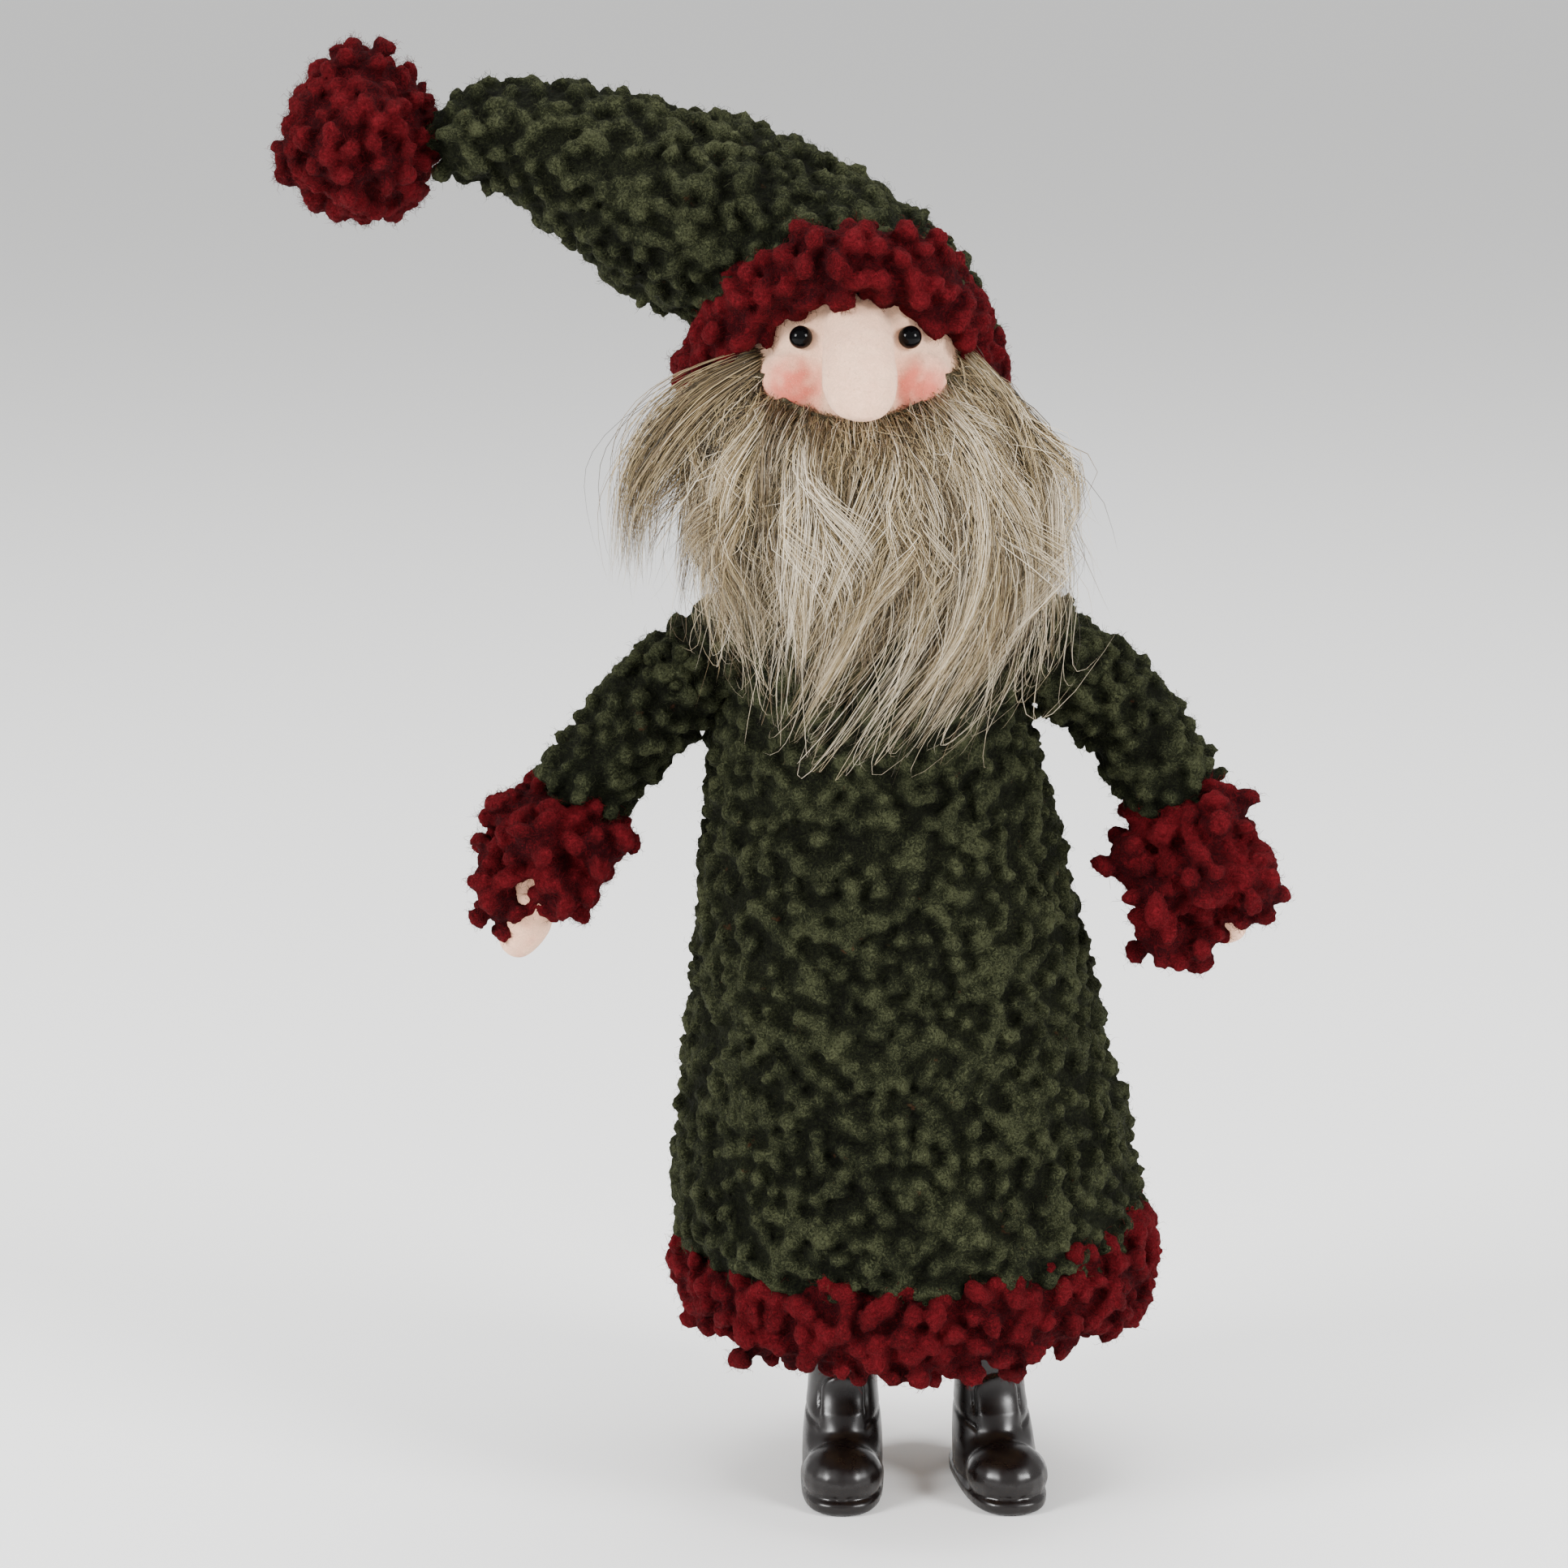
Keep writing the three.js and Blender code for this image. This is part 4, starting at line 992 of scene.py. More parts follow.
class GNOME_OT_hat(bpy.types.Operator):
    """Make the long bent green hat, its red brim and the pompom"""

    bl_idname = "gnome.hat"
    bl_label = "Hat"

    def execute(self, context):
        bend_at = pivot("hat_bend")
        rings = []
        for inner, outer, tilt, back in HAT_EDGES:
            across = Vector((outer[0] - inner[0], 0, outer[1] - inner[1]))
            centre = HEAD + Vector((inner[0] + outer[0], 0, inner[1] + outer[1])) * (HEAD_RADIUS / 2)
            centre.y += back * bend_at.y
            half = across.length * HEAD_RADIUS / 2 - 1.5 * MM
            rings.append(Ring(centre, half, half, (-across.z, across.x), tilt))
        hat = ring_form("hat_boucle", rings, 32)
        rounded(hat)
        even_skin(hat, 1.6 * MM)
        unevenness(hat, (1.2, 22), (0.8, 9))
        hat = add_pile(hat, sizes().green_gap, sizes().green_curl, 0.8 * MM, 51, ragged=0.6 * MM)
        way = (rings[-1].centre - bend_at).normalized()
        bend = ("figure", "hat_point", bend_at - way * 12 * MM, bend_at + way * 12 * MM)
        for number in (1, 2):
            loose = fuzz(f"hat_fuzz_{number}", hat, 3300, sizes().fuzz, sizes().fibre, 0.8, 51 + number)
            woolly(loose, "green_boucle_wool", None, (), bend)
        woolly(hat, "green_boucle_wool", None, ["hat_crown", "hat_tip"], bend)
        self.make_brim()
        self.make_pompom()
        return {"FINISHED"}

    def make_brim(self):
        low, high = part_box("hat_brim")
        wide = (high.x - low.x) / 2 - 7.9 * MM
        deep = 24.3 * MM

        def path(angle):
            # low at the nape, arched high over the forehead, and pulled down a little on one side
            x, y = wide * np.cos(angle), deep * np.sin(angle)
            ahead = np.clip(-np.sin(angle), 0, 1)
            behind = np.clip(np.sin(angle), 0, 1)
            rise = (23.9 * ahead ** 1.35 - 15 * behind ** 1.2) * MM + 0.06 * x
            middle = np.stack([HEAD.x - 2.3 * MM + x, HEAD.y + y, HEAD.z + rise], axis=1)
            return middle, (7.0 - 1.7 * ahead ** 2 + 0.9 * np.abs(np.sin(2 * angle)) * (ahead > 0)) * MM

        brim = wool_band("brim_boucle", path, 5.4 * MM, math.radians(14))
        even_skin(brim, 1.4 * MM)
        unevenness(brim, (1.2, 12), (0.7, 6))
        brim = add_pile(brim, sizes().red_gap, sizes().red_curl, 0.75 * MM, 61, longer=0.7, ragged=1.0 * MM)
        loose = fuzz("brim_fuzz", brim, 4600, sizes().fuzz * 1.1, sizes().fibre, 0.9, 62)
        woolly(brim, "red_boucle_wool", "figure", ["hat_brim"])
        woolly(loose, "red_boucle_wool", "figure")

    def make_pompom(self):
        low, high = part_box("pompom")
        centre = (low + high) / 2
        half = (high - low) / 2 / MM
        core = lump(centre, (half.x - 4.6, half.y - 4.6, half.z - 4.9))
        rng = np.random.default_rng(72)
        forms = [core]
        for _ in range(34):
            way = Vector(rng.normal(size=3)).normalized()
            place = Vector(way[i] * (half[i] - 5.6) for i in range(3)) * MM
            size = rng.uniform(2.2, 4.0)
            forms.append(lump(centre + place, (size, size, size)))
        pompom = join_forms("pompom_boucle", forms)
        even_skin(pompom, 1.2 * MM)
        unevenness(pompom, (1.4, 9))
        curl = sizes().red_curl * 0.95
        pompom = add_pile(pompom, sizes().red_gap, curl, 0.7 * MM, 71, longer=0.8, ragged=1.3 * MM)
        loose = fuzz("pompom_fuzz", pompom, 4600, sizes().fuzz * 1.15, sizes().fibre, 1.0, 72)
        woolly(pompom, "red_boucle_wool", "hat_point", ["pompom"])
        woolly(loose, "red_boucle_wool", "hat_point")


class GNOME_OT_face(bpy.types.Operator):
    """Make the felted face with its long nose, and the bead eyes"""

    bl_idname = "gnome.face"
    bl_label = "Face"

    def execute(self, context):
        radius = HEAD_RADIUS + 2.0 * MM
        deselect()
        bpy.ops.mesh.primitive_uv_sphere_add(segments=48, ring_count=32, radius=radius, location=(0, 0, 0))
        ball = bpy.context.object
        bpy.ops.object.mode_set(mode="EDIT")
        bpy.ops.mesh.select_all(action="SELECT")
        bpy.ops.transform.translate(value=HEAD)
        # keep only the front of the ball: the rest is inside the hat and beard
        bpy.ops.mesh.bisect(plane_co=HEAD + Vector((0, -9 * MM, 0)), plane_no=(0, 1, 0), use_fill=True,
                            clear_outer=True)
        bpy.ops.object.mode_set(mode="OBJECT")
        nose_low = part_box("nose")[0]
        bulb = Vector((HEAD.x + 0.8 * MM, nose_low.y + 6.6 * MM, nose_low.z + 7.4 * MM))
        bridge = HEAD + Vector((0.3, -18.0, 16)) * MM
        rings = []
        for share, wide, deep in ((-0.34, 2.8, 2.4), (-0.26, 5.4, 4.6), (-0.1, 7.0, 6.4), (0.1, 7.4, 7.0),
                                  (0.4, 7.0, 6.4), (0.7, 6.4, 5.6), (1.0, 6.0, 4.6), (1.12, 3.5, 3.0)):
            rings.append(Ring(bulb.lerp(bridge, share), wide * MM, deep * MM))
        nose = ring_form("nose_form", rings, 24)
        rounded(nose)
        cheeks = [
            lump(HEAD + Vector((sign * 10.5, -16.6, -0.5)) * MM, (9.0, 8.6, 8.0)) for sign in SIDE.values()
        ]
        face = join_forms("felt_face", [ball, nose, *cheeks])
        even_skin(face, 0.54 * MM)
        apply_modifier(face, "SMOOTH", factor=0.5, iterations=4)
        unevenness(face, (0.25, 5), (0.1, 1.4))
        spots = points_of(face)
        rubbed = np.zeros(len(spots))
        for sign in SIDE.values():
            cheek = np.array(HEAD + Vector((sign * 12.2, -24, -1.6)) * MM)
            apart = (spots - cheek) / (np.array([6.4, 9.0, 5.2]) * MM)
            rubbed = np.maximum(rubbed, np.clip(1.35 - np.linalg.norm(apart, axis=1), 0, 1) ** 0.7)
        sides = np.abs(spots[:, 0] - bulb.x) - 6.6 * MM
        beside_nose = np.clip(sides / (1.2 * MM), 0, 1)
        rubbed = rubbed * (0.95 + 0.5 * lumps(spots, 2.2 * MM, 7.0)) * beside_nose
        mark(face, "blush", np.clip(rubbed + 0.04 + 0.08 * lumps(spots, 3 * MM, 9.0), 0, 1))
        finish(face, "needle_felted_skin")
        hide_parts("face_felt", "nose")
        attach(face, "figure")
        down = fuzz("face_down", face, 3000, 1.2 * MM, 0.07 * MM, 0.3, 81)
        mark(down, "blush", np.full(len(down.data.vertices), 0.05))
        finish(down, "needle_felted_skin")
        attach(down, "figure")
        for side in SIDE:
            self.make_eye(side)
        return {"FINISHED"}

    def make_eye(self, side):
        low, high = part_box(f"eye_{side}")
        deselect()
        bpy.ops.mesh.primitive_uv_sphere_add(
            segments=40, ring_count=24, radius=sizes().bead / 2, location=(0, 0, 0)
        )
        eye = bpy.context.object
        eye.name = f"bead_eye_{side}"
        bpy.ops.object.mode_set(mode="EDIT")
        bpy.ops.mesh.select_all(action="SELECT")
        bpy.ops.transform.translate(value=(low + high) / 2 + Vector((0, -0.8 * MM, 0)))
        bpy.ops.object.mode_set(mode="OBJECT")
        bpy.ops.object.shade_smooth()
        finish(eye, "black_glass_bead")
        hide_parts(f"eye_{side}")
        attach(eye, "figure")


# Combed lie of the beard: for each place across it, from temple (-1) to temple (1), the points that the
# outer hairs pass, in millimetres from the head's centre.
BEARD_LIE = [
    (-1.0, [(-20, -16, 5), (-29, -19, -5), (-33, -21, -15), (-33, -21, -27), (-31, -20, -40)]),
    (-0.8, [(-18, -19, 0), (-25, -25, -10), (-29, -28, -23), (-28, -30, -36), (-26, -32, -50)]),
    (-0.55, [(-14, -22, -4), (-19, -30, -14), (-22, -34, -27), (-20, -37, -42), (-17, -39, -58)]),
    (-0.3, [(-8, -24, -6), (-12, -33, -17), (-13, -39, -32), (-12, -41, -47), (-13, -43, -63)]),
    (0.0, [(-1, -25, -7), (-2, -36, -18), (-1, -42, -33), (-4, -44, -50), (-12, -45, -67)]),
    (0.3, [(7, -24, -6), (12, -34, -15), (13, -41, -32), (8, -44, -50), (-3, -45, -71)]),
    (0.55, [(14, -21, -3), (20, -31, -13), (24, -37, -31), (19, -41, -50), (6, -43, -70)]),
    (0.8, [(18, -18, 1), (28, -26, -12), (32, -31, -29), (31, -35, -47), (21, -39, -66)]),
    (1.0, [(20, -15, 6), (33, -20, -8), (39, -23, -24), (41, -25, -40), (38, -28, -56)]),
]

# One lock on the left hangs out past the rest.
STRAY_LOCK = [(-18, -17, 3), (-31, -21, -5), (-39, -22, -14), (-43, -20, -24), (-44, -17, -39)]


def along_guide(guide, along):
    """Points of smooth curves. guide: knots (..., knot, xyz); along: shares of the way down (..., step)."""
    at = np.clip(along, 0, 1.25) * (guide.shape[-2] - 1)
    knot = np.clip(np.floor(at).astype(int), 0, guide.shape[-2] - 2)
    t = (at - knot)[..., None]

    def pick(shift):
        index = np.clip(knot + shift, 0, guide.shape[-2] - 1)
        return np.take_along_axis(guide, index[..., None, None], axis=-2)[..., 0, :]

    p0, p1, p2, p3 = pick(-1), pick(0), pick(1), pick(2)
    return 0.5 * (2 * p1 + (p2 - p0) * t + (2 * p0 - 5 * p1 + 4 * p2 - p3) * t ** 2
                  + (3 * p1 - p0 - 3 * p2 + p3) * t ** 3)


class Locks:
    """The locks of one layer of fur: where each starts, how it runs and what shade it has."""

    def __init__(self, rng, count, starts, length, depth):
        self.across = rng.uniform(-1.02, 1.02, count)
        self.start = rng.uniform(*starts, count)
        self.length = length * rng.uniform(0.6, 1.3, count)
        self.depth = rng.uniform(*depth, count)
        self.wave = rng.normal(0, 1.0, (count, 3)) * np.array([2.6, 1.1, 1.3]) * MM
        self.pitch = rng.uniform(3.0, 7.5, (count, 1))
        self.turn = rng.uniform(0, 2 * math.pi, (count, 3))
        self.drift = rng.normal(0, 1.0, (count, 3)) * np.array([4.8, 1.6, 2.2]) * MM
        self.tone = np.clip(rng.normal(0.45, 0.2, count), 0.05, 0.95)


class GNOME_OT_beard(bpy.types.Operator):
    """Make the long combed fur beard, hair by hair"""

    bl_idname = "gnome.beard"
    bl_label = "Beard"

    def execute(self, context):
        self.undercoat()
        # name, hairs, locks, where they start, share of the way they run, depth in mm, thickness, painted
        # shade (deeper layers darker, the outer layer paler), seed
        layers = [
            ("beard_fur_under", 2500, 100, (0.0, 0.42), 0.4, (3.5, 7.0), 1.1, -0.3, 91),
            ("beard_fur_middle", 3300, 90, (0.0, 0.4), 0.42, (1.5, 4.0), 1.0, -0.12, 92),
            ("beard_fur_top", 3700, 75, (0.0, 0.38), 0.48, (-0.5, 2.0), 0.95, 0.04, 93),
            ("beard_fur_over", 3200, 52, (0.0, 0.4), 0.55, (-2.5, 0.0), 0.85, 0.14, 94),
        ]
        for name, count, locks, starts, span, depth, thick, shade, seed in layers:
            rng = np.random.default_rng(seed)
            made = Locks(rng, locks, starts, span, depth)
            self.dress(self.comb(name, rng, made, count, thick, shade))
        self.dress(self.roots("beard_fur_roots", 2500, 95))
        self.dress(self.stray_lock("beard_fur_stray", 520, 98))
        self.dress(self.flyaway("beard_fur_flyaway", 640, 96))
        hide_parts("beard_fur")
        return {"FINISHED"}

    def dress(self, fur):
        finish(fur, "beard_fur_fibre")
        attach(fur, "figure")

    def lie(self, across, along):
        """Points of the combed surface for arrays of places across and shares of the way down."""
        places = np.array([row[0] for row in BEARD_LIE])
        points = np.array([row[1] for row in BEARD_LIE], float) * MM
        across = np.clip(across, -1, 1)
        spot = np.clip(np.searchsorted(places, across, side="right") - 1, 0, len(places) - 2)
        share = ((across - places[spot]) / (places[spot + 1] - places[spot]))[..., None, None]
        guide = points[spot] * (1 - share) + points[spot + 1] * share
        return along_guide(guide, along) + np.array(HEAD)

    def comb(self, name, rng, locks, count, thick, shade):
        """Hairs that leave the cloth side by side and gather to the point of their lock."""
        steps = 8
        owner = rng.integers(0, len(locks.across), count)
        share = np.linspace(0, 1, steps)[None, :]
        start = (locks.start[owner] + rng.uniform(-0.03, 0.05, count)).clip(0, 1)[:, None]
        run = (locks.length[owner] * rng.uniform(0.72, 1.06, count))[:, None]
        along = start + run * share
        loose = rng.normal(0, 0.058, count)[:, None]
        across = locks.across[owner][:, None] + loose * (1 - 0.85 * share)
        # whole tresses lean together, with furrows between them
        tress = 0.05 * np.sin(8.5 * across + 4.0 * along) + 0.035 * np.sin(15 * across - 6.0 * along + 1.0)
        furrow = np.sin(15.5 * across + 2.4 * along + 0.7) * np.clip(along * 4 - 0.4, 0, 1)
        across = across + tress
        paths = self.lie(across, along)
        # hairs rooted lower down come out from under the ones above
        rooted = np.clip(start * 7, 0, 3.5) * np.clip(1 - share * 3, 0, 1) ** 2
        sunk = (locks.depth[owner][:, None] * np.clip(along * 5, 0.15, 1) + rooted + 2.6 * furrow) * MM
        paths = paths + np.array([0.0, 1.0, 0.1]) * sunk[..., None]
        phase = share[..., None] * locks.pitch[owner][:, None, :] + locks.turn[owner][:, None, :]
        wave = np.sin(phase) - np.sin(locks.turn[owner])[:, None, :]
        paths = paths + locks.wave[owner][:, None, :] * wave * np.clip(share * 1.6, 0, 1)[..., None]
        paths = paths + locks.drift[owner][:, None, :] * (share ** 1.7)[..., None]
        own = rng.normal(0, 0.75, (count, 1, 3)) * MM
        paths = paths + own * (1 - 0.5 * share)[..., None]
        unruly = (rng.uniform(size=count) < 0.12)[:, None, None]
        wild = rng.normal(0, 3.6, (count, 1, 3)) * MM * np.array([1.2, 0.5, 1.0])
        paths = paths + np.where(unruly, wild * (share ** 1.6)[..., None], 0)
        paths[..., 1] = np.minimum(paths[..., 1], HEAD.y - 8 * MM)
        # painted shade and light: each layer's shade darkens the deeper layers and lightens the outer one,
        # and hairs sunk in the furrows are darker and those on the ridges paler; the lock tones, each hair's
        # spread and the odd pale or dark hair vary at random
        tone = locks.tone[owner] + shade - 0.24 * furrow.mean(axis=1) + rng.normal(0, 0.17, count)
        tone = np.where(rng.uniform(size=count) < 0.12, rng.uniform(0.85, 1.0, count), tone)
        tone = np.where(rng.uniform(size=count) < 0.1, rng.uniform(0.0, 0.15, count), tone)
        return self.strands(name, rng, paths, thick, np.clip(tone, 0, 1), along)

    def strands(self, name, rng, paths, thick, tone, along):
        count, steps = paths.shape[:2]
        taper = np.interp(np.linspace(0, 1, steps), [0, 0.15, 0.6, 1.0], [0.8, 1.0, 0.85, 0.15])
        widths = sizes().hair_width * thick * rng.uniform(0.6, 1.2, count)[:, None] * taper[None, :]
        # strand_along: share of the way down each hair, from which the material paints shade near the roots
        marks = {"strand_tone": tone, "strand_along": np.broadcast_to(along, (count, steps))}
        return hairs(name, paths, widths, marks)

    def roots(self, name, count, seed):
        """Short matted hairs round the face, where the fur cloth was trimmed."""
        rng = np.random.default_rng(seed)
        steps = 6
        share = np.linspace(0, 1, steps)[None, :]
        across = rng.uniform(-1, 1, count)[:, None] + rng.normal(0, 0.09, (count, 1)) * share
        along = rng.uniform(-0.02, 0.16, count)[:, None] + rng.uniform(0.1, 0.24, (count, 1)) * share
        paths = self.lie(across, along.clip(0, 1))
        curl = rng.normal(0, 1.6, (count, 1, 3)) * MM
        swirl = rng.normal(0, 1.1, (count, 1, 3)) * MM
        paths = paths + curl * share[..., None] + swirl * np.sin(share * 4.5)[..., None]
        paths = paths + np.array([0, 1, 0]) * (rng.uniform(-0.6, 3.0, (count, 1, 1)) * MM)
        tone = np.clip(rng.normal(0.5, 0.2, count), 0, 1)
        # their along is raised by 0.15, so these short hairs get less of the painted root shade
        return self.strands(name, rng, paths, 0.9, tone, along + 0.15)

    def stray_lock(self, name, count, seed):
        """The lock on the left that was combed away from the rest."""
        rng = np.random.default_rng(seed)
        steps = 12
        share = np.linspace(0, 1, steps)[None, :]
        along = share * rng.uniform(0.72, 1.05, count)[:, None]
        guide = np.broadcast_to(np.array(STRAY_LOCK, float) * MM, (count, steps, len(STRAY_LOCK), 3))
        paths = along_guide(guide, along) + np.array(HEAD)
        spread = rng.normal(0, 1.0, (count, 1, 3)) * np.array([2.0, 1.4, 2.0]) * MM
        paths = paths + spread * (0.5 + 1.1 * np.sin(share * 2.9) - 0.2 * share)[..., None]
        drift = rng.normal(0, 1.0, (count, 1, 3)) * np.array([2.2, 1.0, 2.2]) * MM
        paths = paths + drift * (share ** 2)[..., None]
        tone = np.clip(rng.normal(0.42, 0.22, count), 0, 1)
        return self.strands(name, rng, paths, 0.95, tone, along)

    def flyaway(self, name, count, seed):
        """Single long hairs that left their lock, over the edges and down the front of the coat."""
        rng = np.random.default_rng(seed)
        steps = 14
        share = np.linspace(0, 1, steps)[None, :]
        across = np.sign(rng.uniform(-1, 1, count)) * rng.uniform(0, 1, count) ** 0.5
        along = rng.uniform(0.1, 0.6, count)[:, None] + rng.uniform(0.4, 0.75, (count, 1)) * share
        paths = self.lie(across[:, None] + rng.normal(0, 0.1, (count, 1)) * share, along)
        bow = rng.normal(0, 3.2, (count, 1, 3)) * MM * np.array([1.5, 0.6, 1.0])
        curl = rng.normal(0, 1.8, (count, 1, 3)) * MM * np.array([1.2, 0.5, 1.0])
        paths = paths + bow * (share ** 1.5)[..., None] + curl * np.sin(share * 6)[..., None]
        paths[..., 1] = np.minimum(paths[..., 1], HEAD.y - 9 * MM)
        pale = rng.uniform(size=count) < 0.7
        tone = np.where(pale, rng.uniform(0.75, 1.0, count), rng.uniform(0, 0.3, count))
        return self.strands(name, rng, paths, 0.6, tone, along)

    def undercoat(self):
        """The dense short wool under the long hairs, so that no cloth shows through; it is coloured dark as
        painted shade behind the locks.
        """
        rings = []
        for share in (0.02, 0.12, 0.25, 0.4, 0.55, 0.68, 0.78):
            row = self.lie(np.linspace(-0.9, 0.9, 5), np.full(5, share))
            left, right = row[:, 0].min(), row[:, 0].max()
            deep = (3.5 + 4.5 * math.sin(share * math.pi)) * MM
            front = row[:, 1].min() + deep + 7.5 * MM
            centre = ((left + right) / 2, front, row[:, 2].mean())
            rings.append(Ring(centre, (right - left) / 2 - 6 * MM, deep))
        rings.reverse()
        pad = ring_form("beard_undercoat", rings, 28)
        rounded(pad)
        even_skin(pad, 1.6 * MM)
        pad = add_pile(pad, 3.4 * MM, 1.6 * MM, 1.1 * MM, 97, longer=1.0)
        finish(pad, "fur_backing_knit")
        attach(pad, "figure")


class GNOME_OT_boots(bpy.types.Operator):
    """Make the two glossy moulded boots"""

    bl_idname = "gnome.boots"
    bl_label = "Boots"

    def execute(self, context):
        for side in SIDE:
            leg = box_centre(f"leg_dowel_{side}")
            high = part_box(f"boot_{side}")[1]
            boot = self.make_boot(f"moulded_boot_{side}", high.z / MM)
            splay = math.radians(10 if side == "right" else -1)
            take(boot)
            bpy.ops.object.mode_set(mode="EDIT")
            bpy.ops.mesh.select_all(action="SELECT")
            turn(splay, "Z", (0, 0, 0))
            bpy.ops.transform.translate(value=(leg.x, leg.y, 0))
            bpy.ops.object.mode_set(mode="OBJECT")
            finish(boot, "moulded_boot_vinyl")
            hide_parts(f"boot_{side}")
            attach(boot, "figure")
        return {"FINISHED"}

    def make_boot(self, name, top):
        """Boot about its leg's axis: shaft and heel, instep and round toe, then the moulded lines."""
        rings = []
        # height, front to back middle, half width, half depth, all in millimetres
        for height, y, wide, deep in ((top, 0.2, 7.4, 7.7), (top - 8, 0.1, 7.3, 7.6), (26, 0, 7.3, 7.6),
                                      (20, -0.3, 7.4, 7.9), (16, -1.4, 7.9, 9.2), (12, -3.4, 8.4, 11.8),
                                      (8, -5.4, 8.6, 14.4), (3, -6.6, 8.6, 15.8), (1.5, -6.6, 8.2, 15.4)):
            rings.append(Ring((0, y * MM, height * MM), wide * MM, deep * MM, (0, -1)))
        shaft = ring_form("shaft", rings, 32)
        rounded(shaft)
        toe = lump(Vector((0, -18.0, 6.2)) * MM, (8.7, 9.6, 6.4))
        sole = ring_form("sole", [
            Ring((0, -8.7 * MM, height * MM), wide * MM, deep * MM)
            for height, wide, deep in ((0.1, 8.2, 18.8), (0.9, 8.8, 19.4), (2.4, 8.8, 19.4), (3.1, 8.3, 18.9))
        ], 48)
        spots = points_of(sole)
        # squarer than an ellipse: wide round toe, straight sides, round heel
        y = (spots[:, 1] + 8.7 * MM) / (19.4 * MM)
        spots[:, 0] = np.clip(spots[:, 0] / np.sqrt(np.clip(1 - 0.6 * y ** 2, 0.3, 1)), -8.8 * MM, 8.8 * MM)
        move_points(sole, spots)
        boot = join_forms(name, [shaft, toe, sole])
        even_skin(boot, 0.52 * MM)
        apply_modifier(boot, "SMOOTH", factor=0.5, iterations=14)
        self.mould_lines(boot)
        spots = points_of(boot)
        spots[:, 2] = np.maximum(spots[:, 2], 0)
        move_points(boot, spots)
        return boot

    def mould_lines(self, boot):
        spots = points_of(boot)
        normals = normals_of(boot)
        x, y, z = (spots / MM).T
        side_on = np.clip(1 - np.abs(normals[:, 2]), 0, 1)
        # welt: a thin rounded ridge over the sole with a groove above it
        welt = 0.2 * np.exp(-((z - 2.5) / 0.4) ** 2) - 0.26 * np.exp(-((z - 3.4) / 0.35) ** 2)
        # tongue panel on the front of the shaft: arched top, straight sides, running out into the instep
        front = y < -1.5
        edge = np.sqrt((x / 4.5) ** 2 + (np.clip(z - 20.0, 0, None) / 4.2) ** 2)
        panel = 0.7 / (1 + np.exp((edge - 1) * 16)) * front * np.clip((z - 13.5) / 2.5, 0, 1)
        line = -0.5 * np.exp(-((edge - 1.06) / 0.08) ** 2) * front * np.clip((z - 15.5) / 2, 0, 1)
        # seam round the ankle at the sides
        notch = -0.4 * np.exp(-((z - 16.0 - 0.2 * y) / 0.5) ** 2) * (np.abs(x) > 5.2) * (y < 4)
        # hollow between the instep and the toe
        hollow = -0.8 * np.exp(-(((y + 12.0) / 3.0) ** 2 + ((z - 12.5) / 2.6) ** 2))
        push = (welt * side_on + panel + line + notch + hollow) * MM
        move_points(boot, spots + normals * push[:, None])


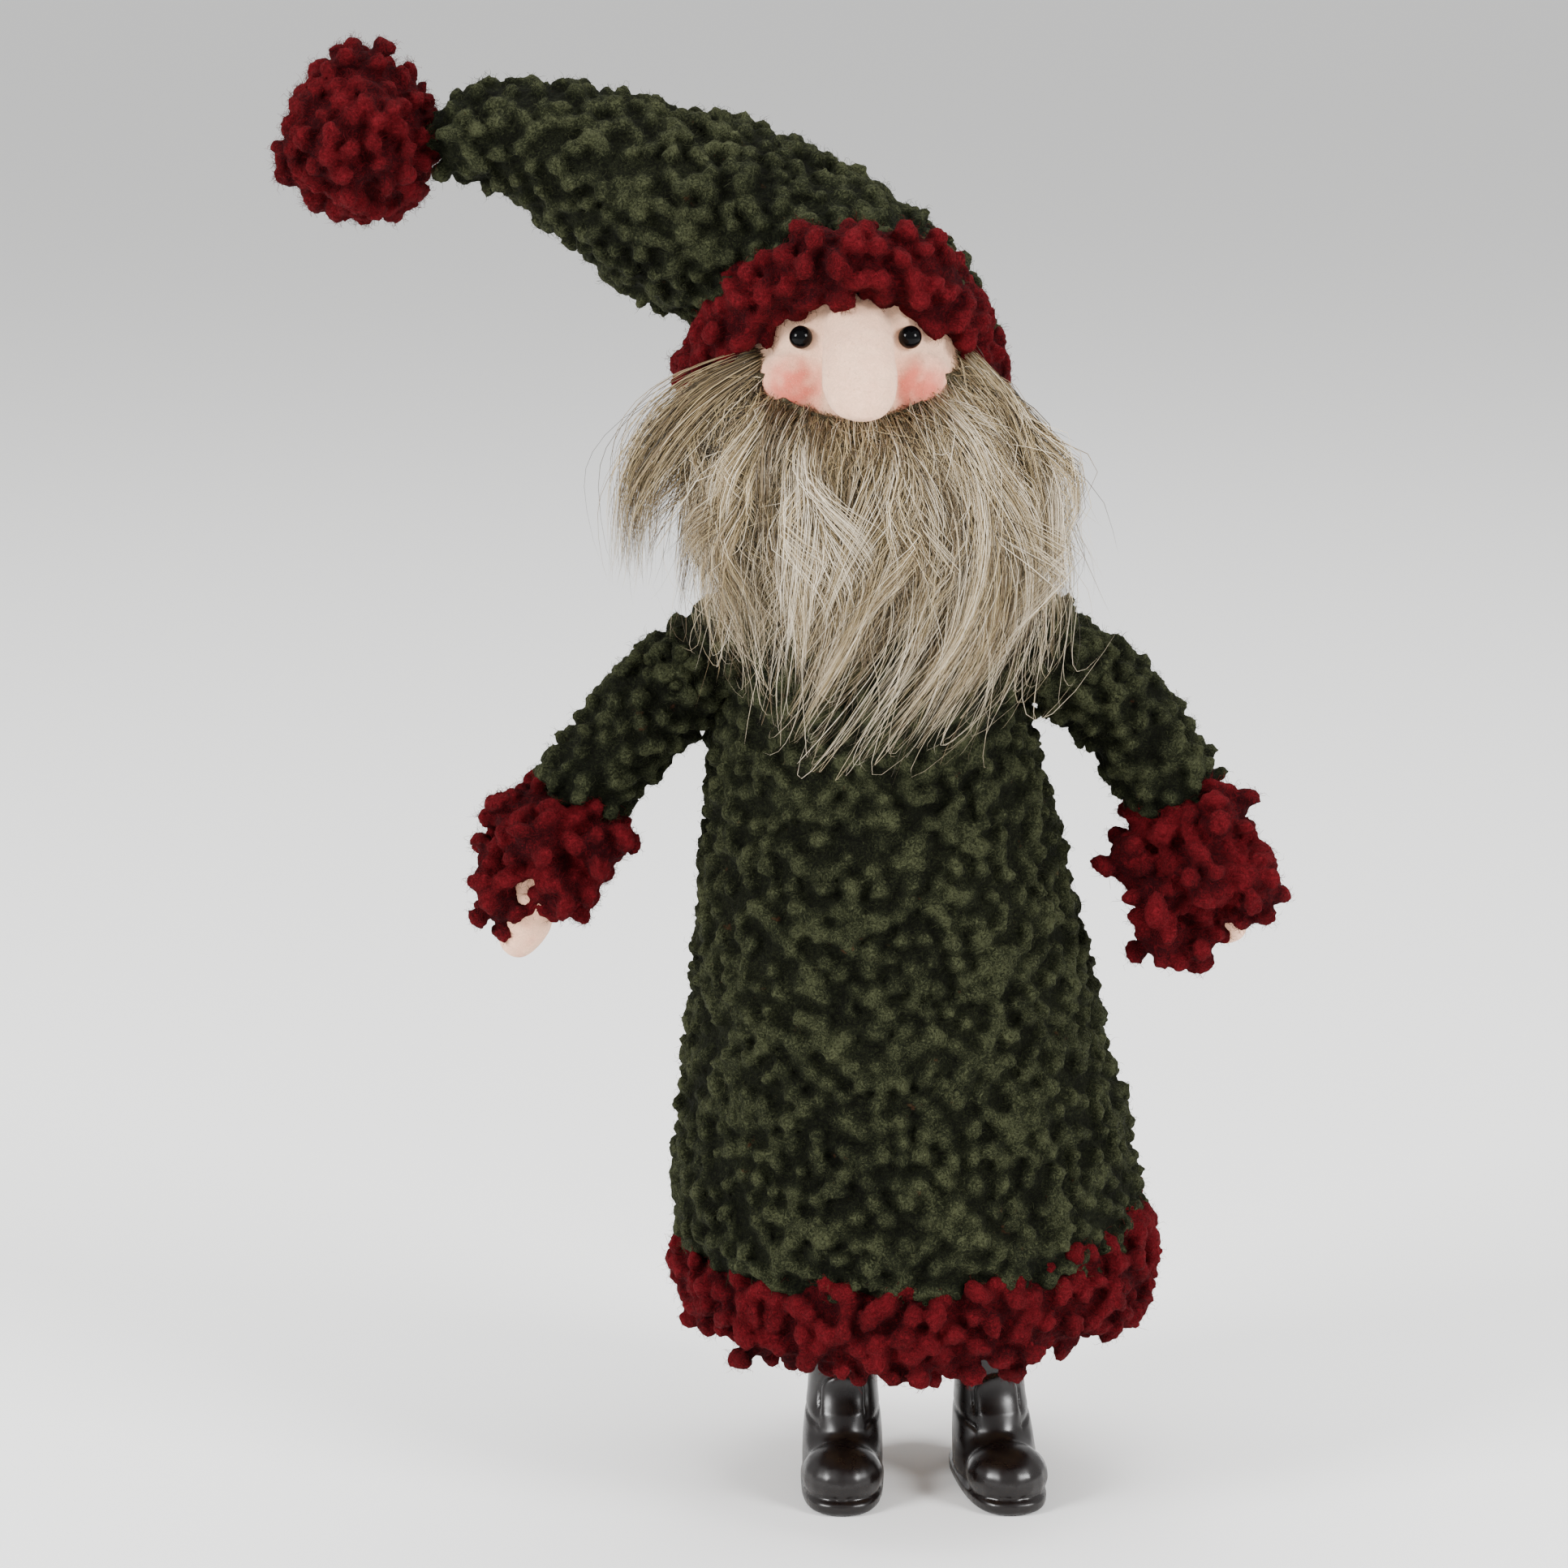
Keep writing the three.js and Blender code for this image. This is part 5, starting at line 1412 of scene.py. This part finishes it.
class GNOME_OT_stage(bpy.types.Operator):
    """Make the pale floor, the soft lights and the camera"""

    bl_idname = "gnome.stage"
    bl_label = "Stage"

    def execute(self, context):
        deselect()
        bpy.ops.mesh.primitive_circle_add(vertices=64, radius=20, fill_type="NGON", location=(0, 0, 0))
        floor = bpy.context.object
        floor.name = "floor"
        material, tree = new_material("pale_floor")
        shader = add_node(tree, "ShaderNodeBsdfPrincipled", {
            "Base Color": rgba(linear("#f4f4f3")), "Roughness": 0.9, "Specular IOR Level": 0.1,
        })
        close_material(tree, shader)
        floor.data.materials.append(material)
        world = bpy.data.worlds.new("soft_room")
        context.scene.world = world
        world.use_nodes = True
        background = world.node_tree.nodes["Background"]
        background.inputs["Color"].default_value = (1, 1, 1, 1)
        background.inputs["Strength"].default_value = 0.9
        target = Vector((0, 0, 0.12))
        for name, place, size, power in (
            ("softbox_left", (-1.05, -0.7, 0.7), 0.45, 27.0),
            ("softbox_right", (1.05, -0.7, 0.7), 0.45, 23.0),
            ("softbox_top", (0.1, 0.2, 1.6), 1.2, 26.0),
        ):
            bpy.ops.object.light_add(type="AREA", location=place)
            light = bpy.context.object
            light.name = name
            light.data.size = size
            light.data.energy = power
            light.rotation_euler = (target - light.location).to_track_quat("-Z", "Y").to_euler()
        self.place_camera(context)
        return {"FINISHED"}

    def place_camera(self, context):
        lift = math.radians(12)
        aim = Vector((-0.0003, 0, 0.150))
        away = Vector((0, -math.cos(lift), math.sin(lift)))
        data = bpy.data.cameras.new("camera")
        data.sensor_width = 36
        data.lens = 18 / math.tan(math.radians(10.15))
        data.clip_start = 0.05
        data.clip_end = 60
        camera = bpy.data.objects.new("camera", data)
        context.collection.objects.link(camera)
        camera.location = aim + away * 0.9
        camera.rotation_euler = (-away).to_track_quat("-Z", "Y").to_euler()
        context.scene.camera = camera


OPERATORS = [
    GNOME_OT_materials, GNOME_OT_stage, GNOME_OT_boots, GNOME_OT_coat, GNOME_OT_hem, GNOME_OT_arms,
    GNOME_OT_hat, GNOME_OT_face, GNOME_OT_beard,
]


class GNOME_PT_panel(bpy.types.Panel):
    """Lists the gnome's pieces, sizes and colours"""

    bl_idname = "GNOME_PT_panel"
    bl_label = "Tomte gnome"
    bl_space_type = "VIEW_3D"
    bl_region_type = "UI"
    bl_category = "Gnome"

    def draw(self, context):
        for group in (context.scene.gnome_sizes, context.scene.gnome_colours):
            for key in group.__annotations__:
                self.layout.prop(group, key)
        for maker in OPERATORS:
            self.layout.operator(maker.bl_idname)


CLASSES = [GnomeSizes, GnomeColours, *OPERATORS, GNOME_PT_panel]


def register():
    for made in CLASSES:
        bpy.utils.register_class(made)
    bpy.types.Scene.gnome_sizes = bpy.props.PointerProperty(type=GnomeSizes)
    bpy.types.Scene.gnome_colours = bpy.props.PointerProperty(type=GnomeColours)


def unregister():
    del bpy.types.Scene.gnome_colours
    del bpy.types.Scene.gnome_sizes
    for made in reversed(CLASSES):
        bpy.utils.unregister_class(made)


def main():
    register()
    bpy.ops.gnome.materials()
    bpy.ops.gnome.stage()
    bpy.ops.gnome.boots()
    bpy.ops.gnome.coat()
    bpy.ops.gnome.hem()
    bpy.ops.gnome.arms()
    bpy.ops.gnome.hat()
    bpy.ops.gnome.face()
    bpy.ops.gnome.beard()
    deselect()


if __name__ == "__main__":
    main()
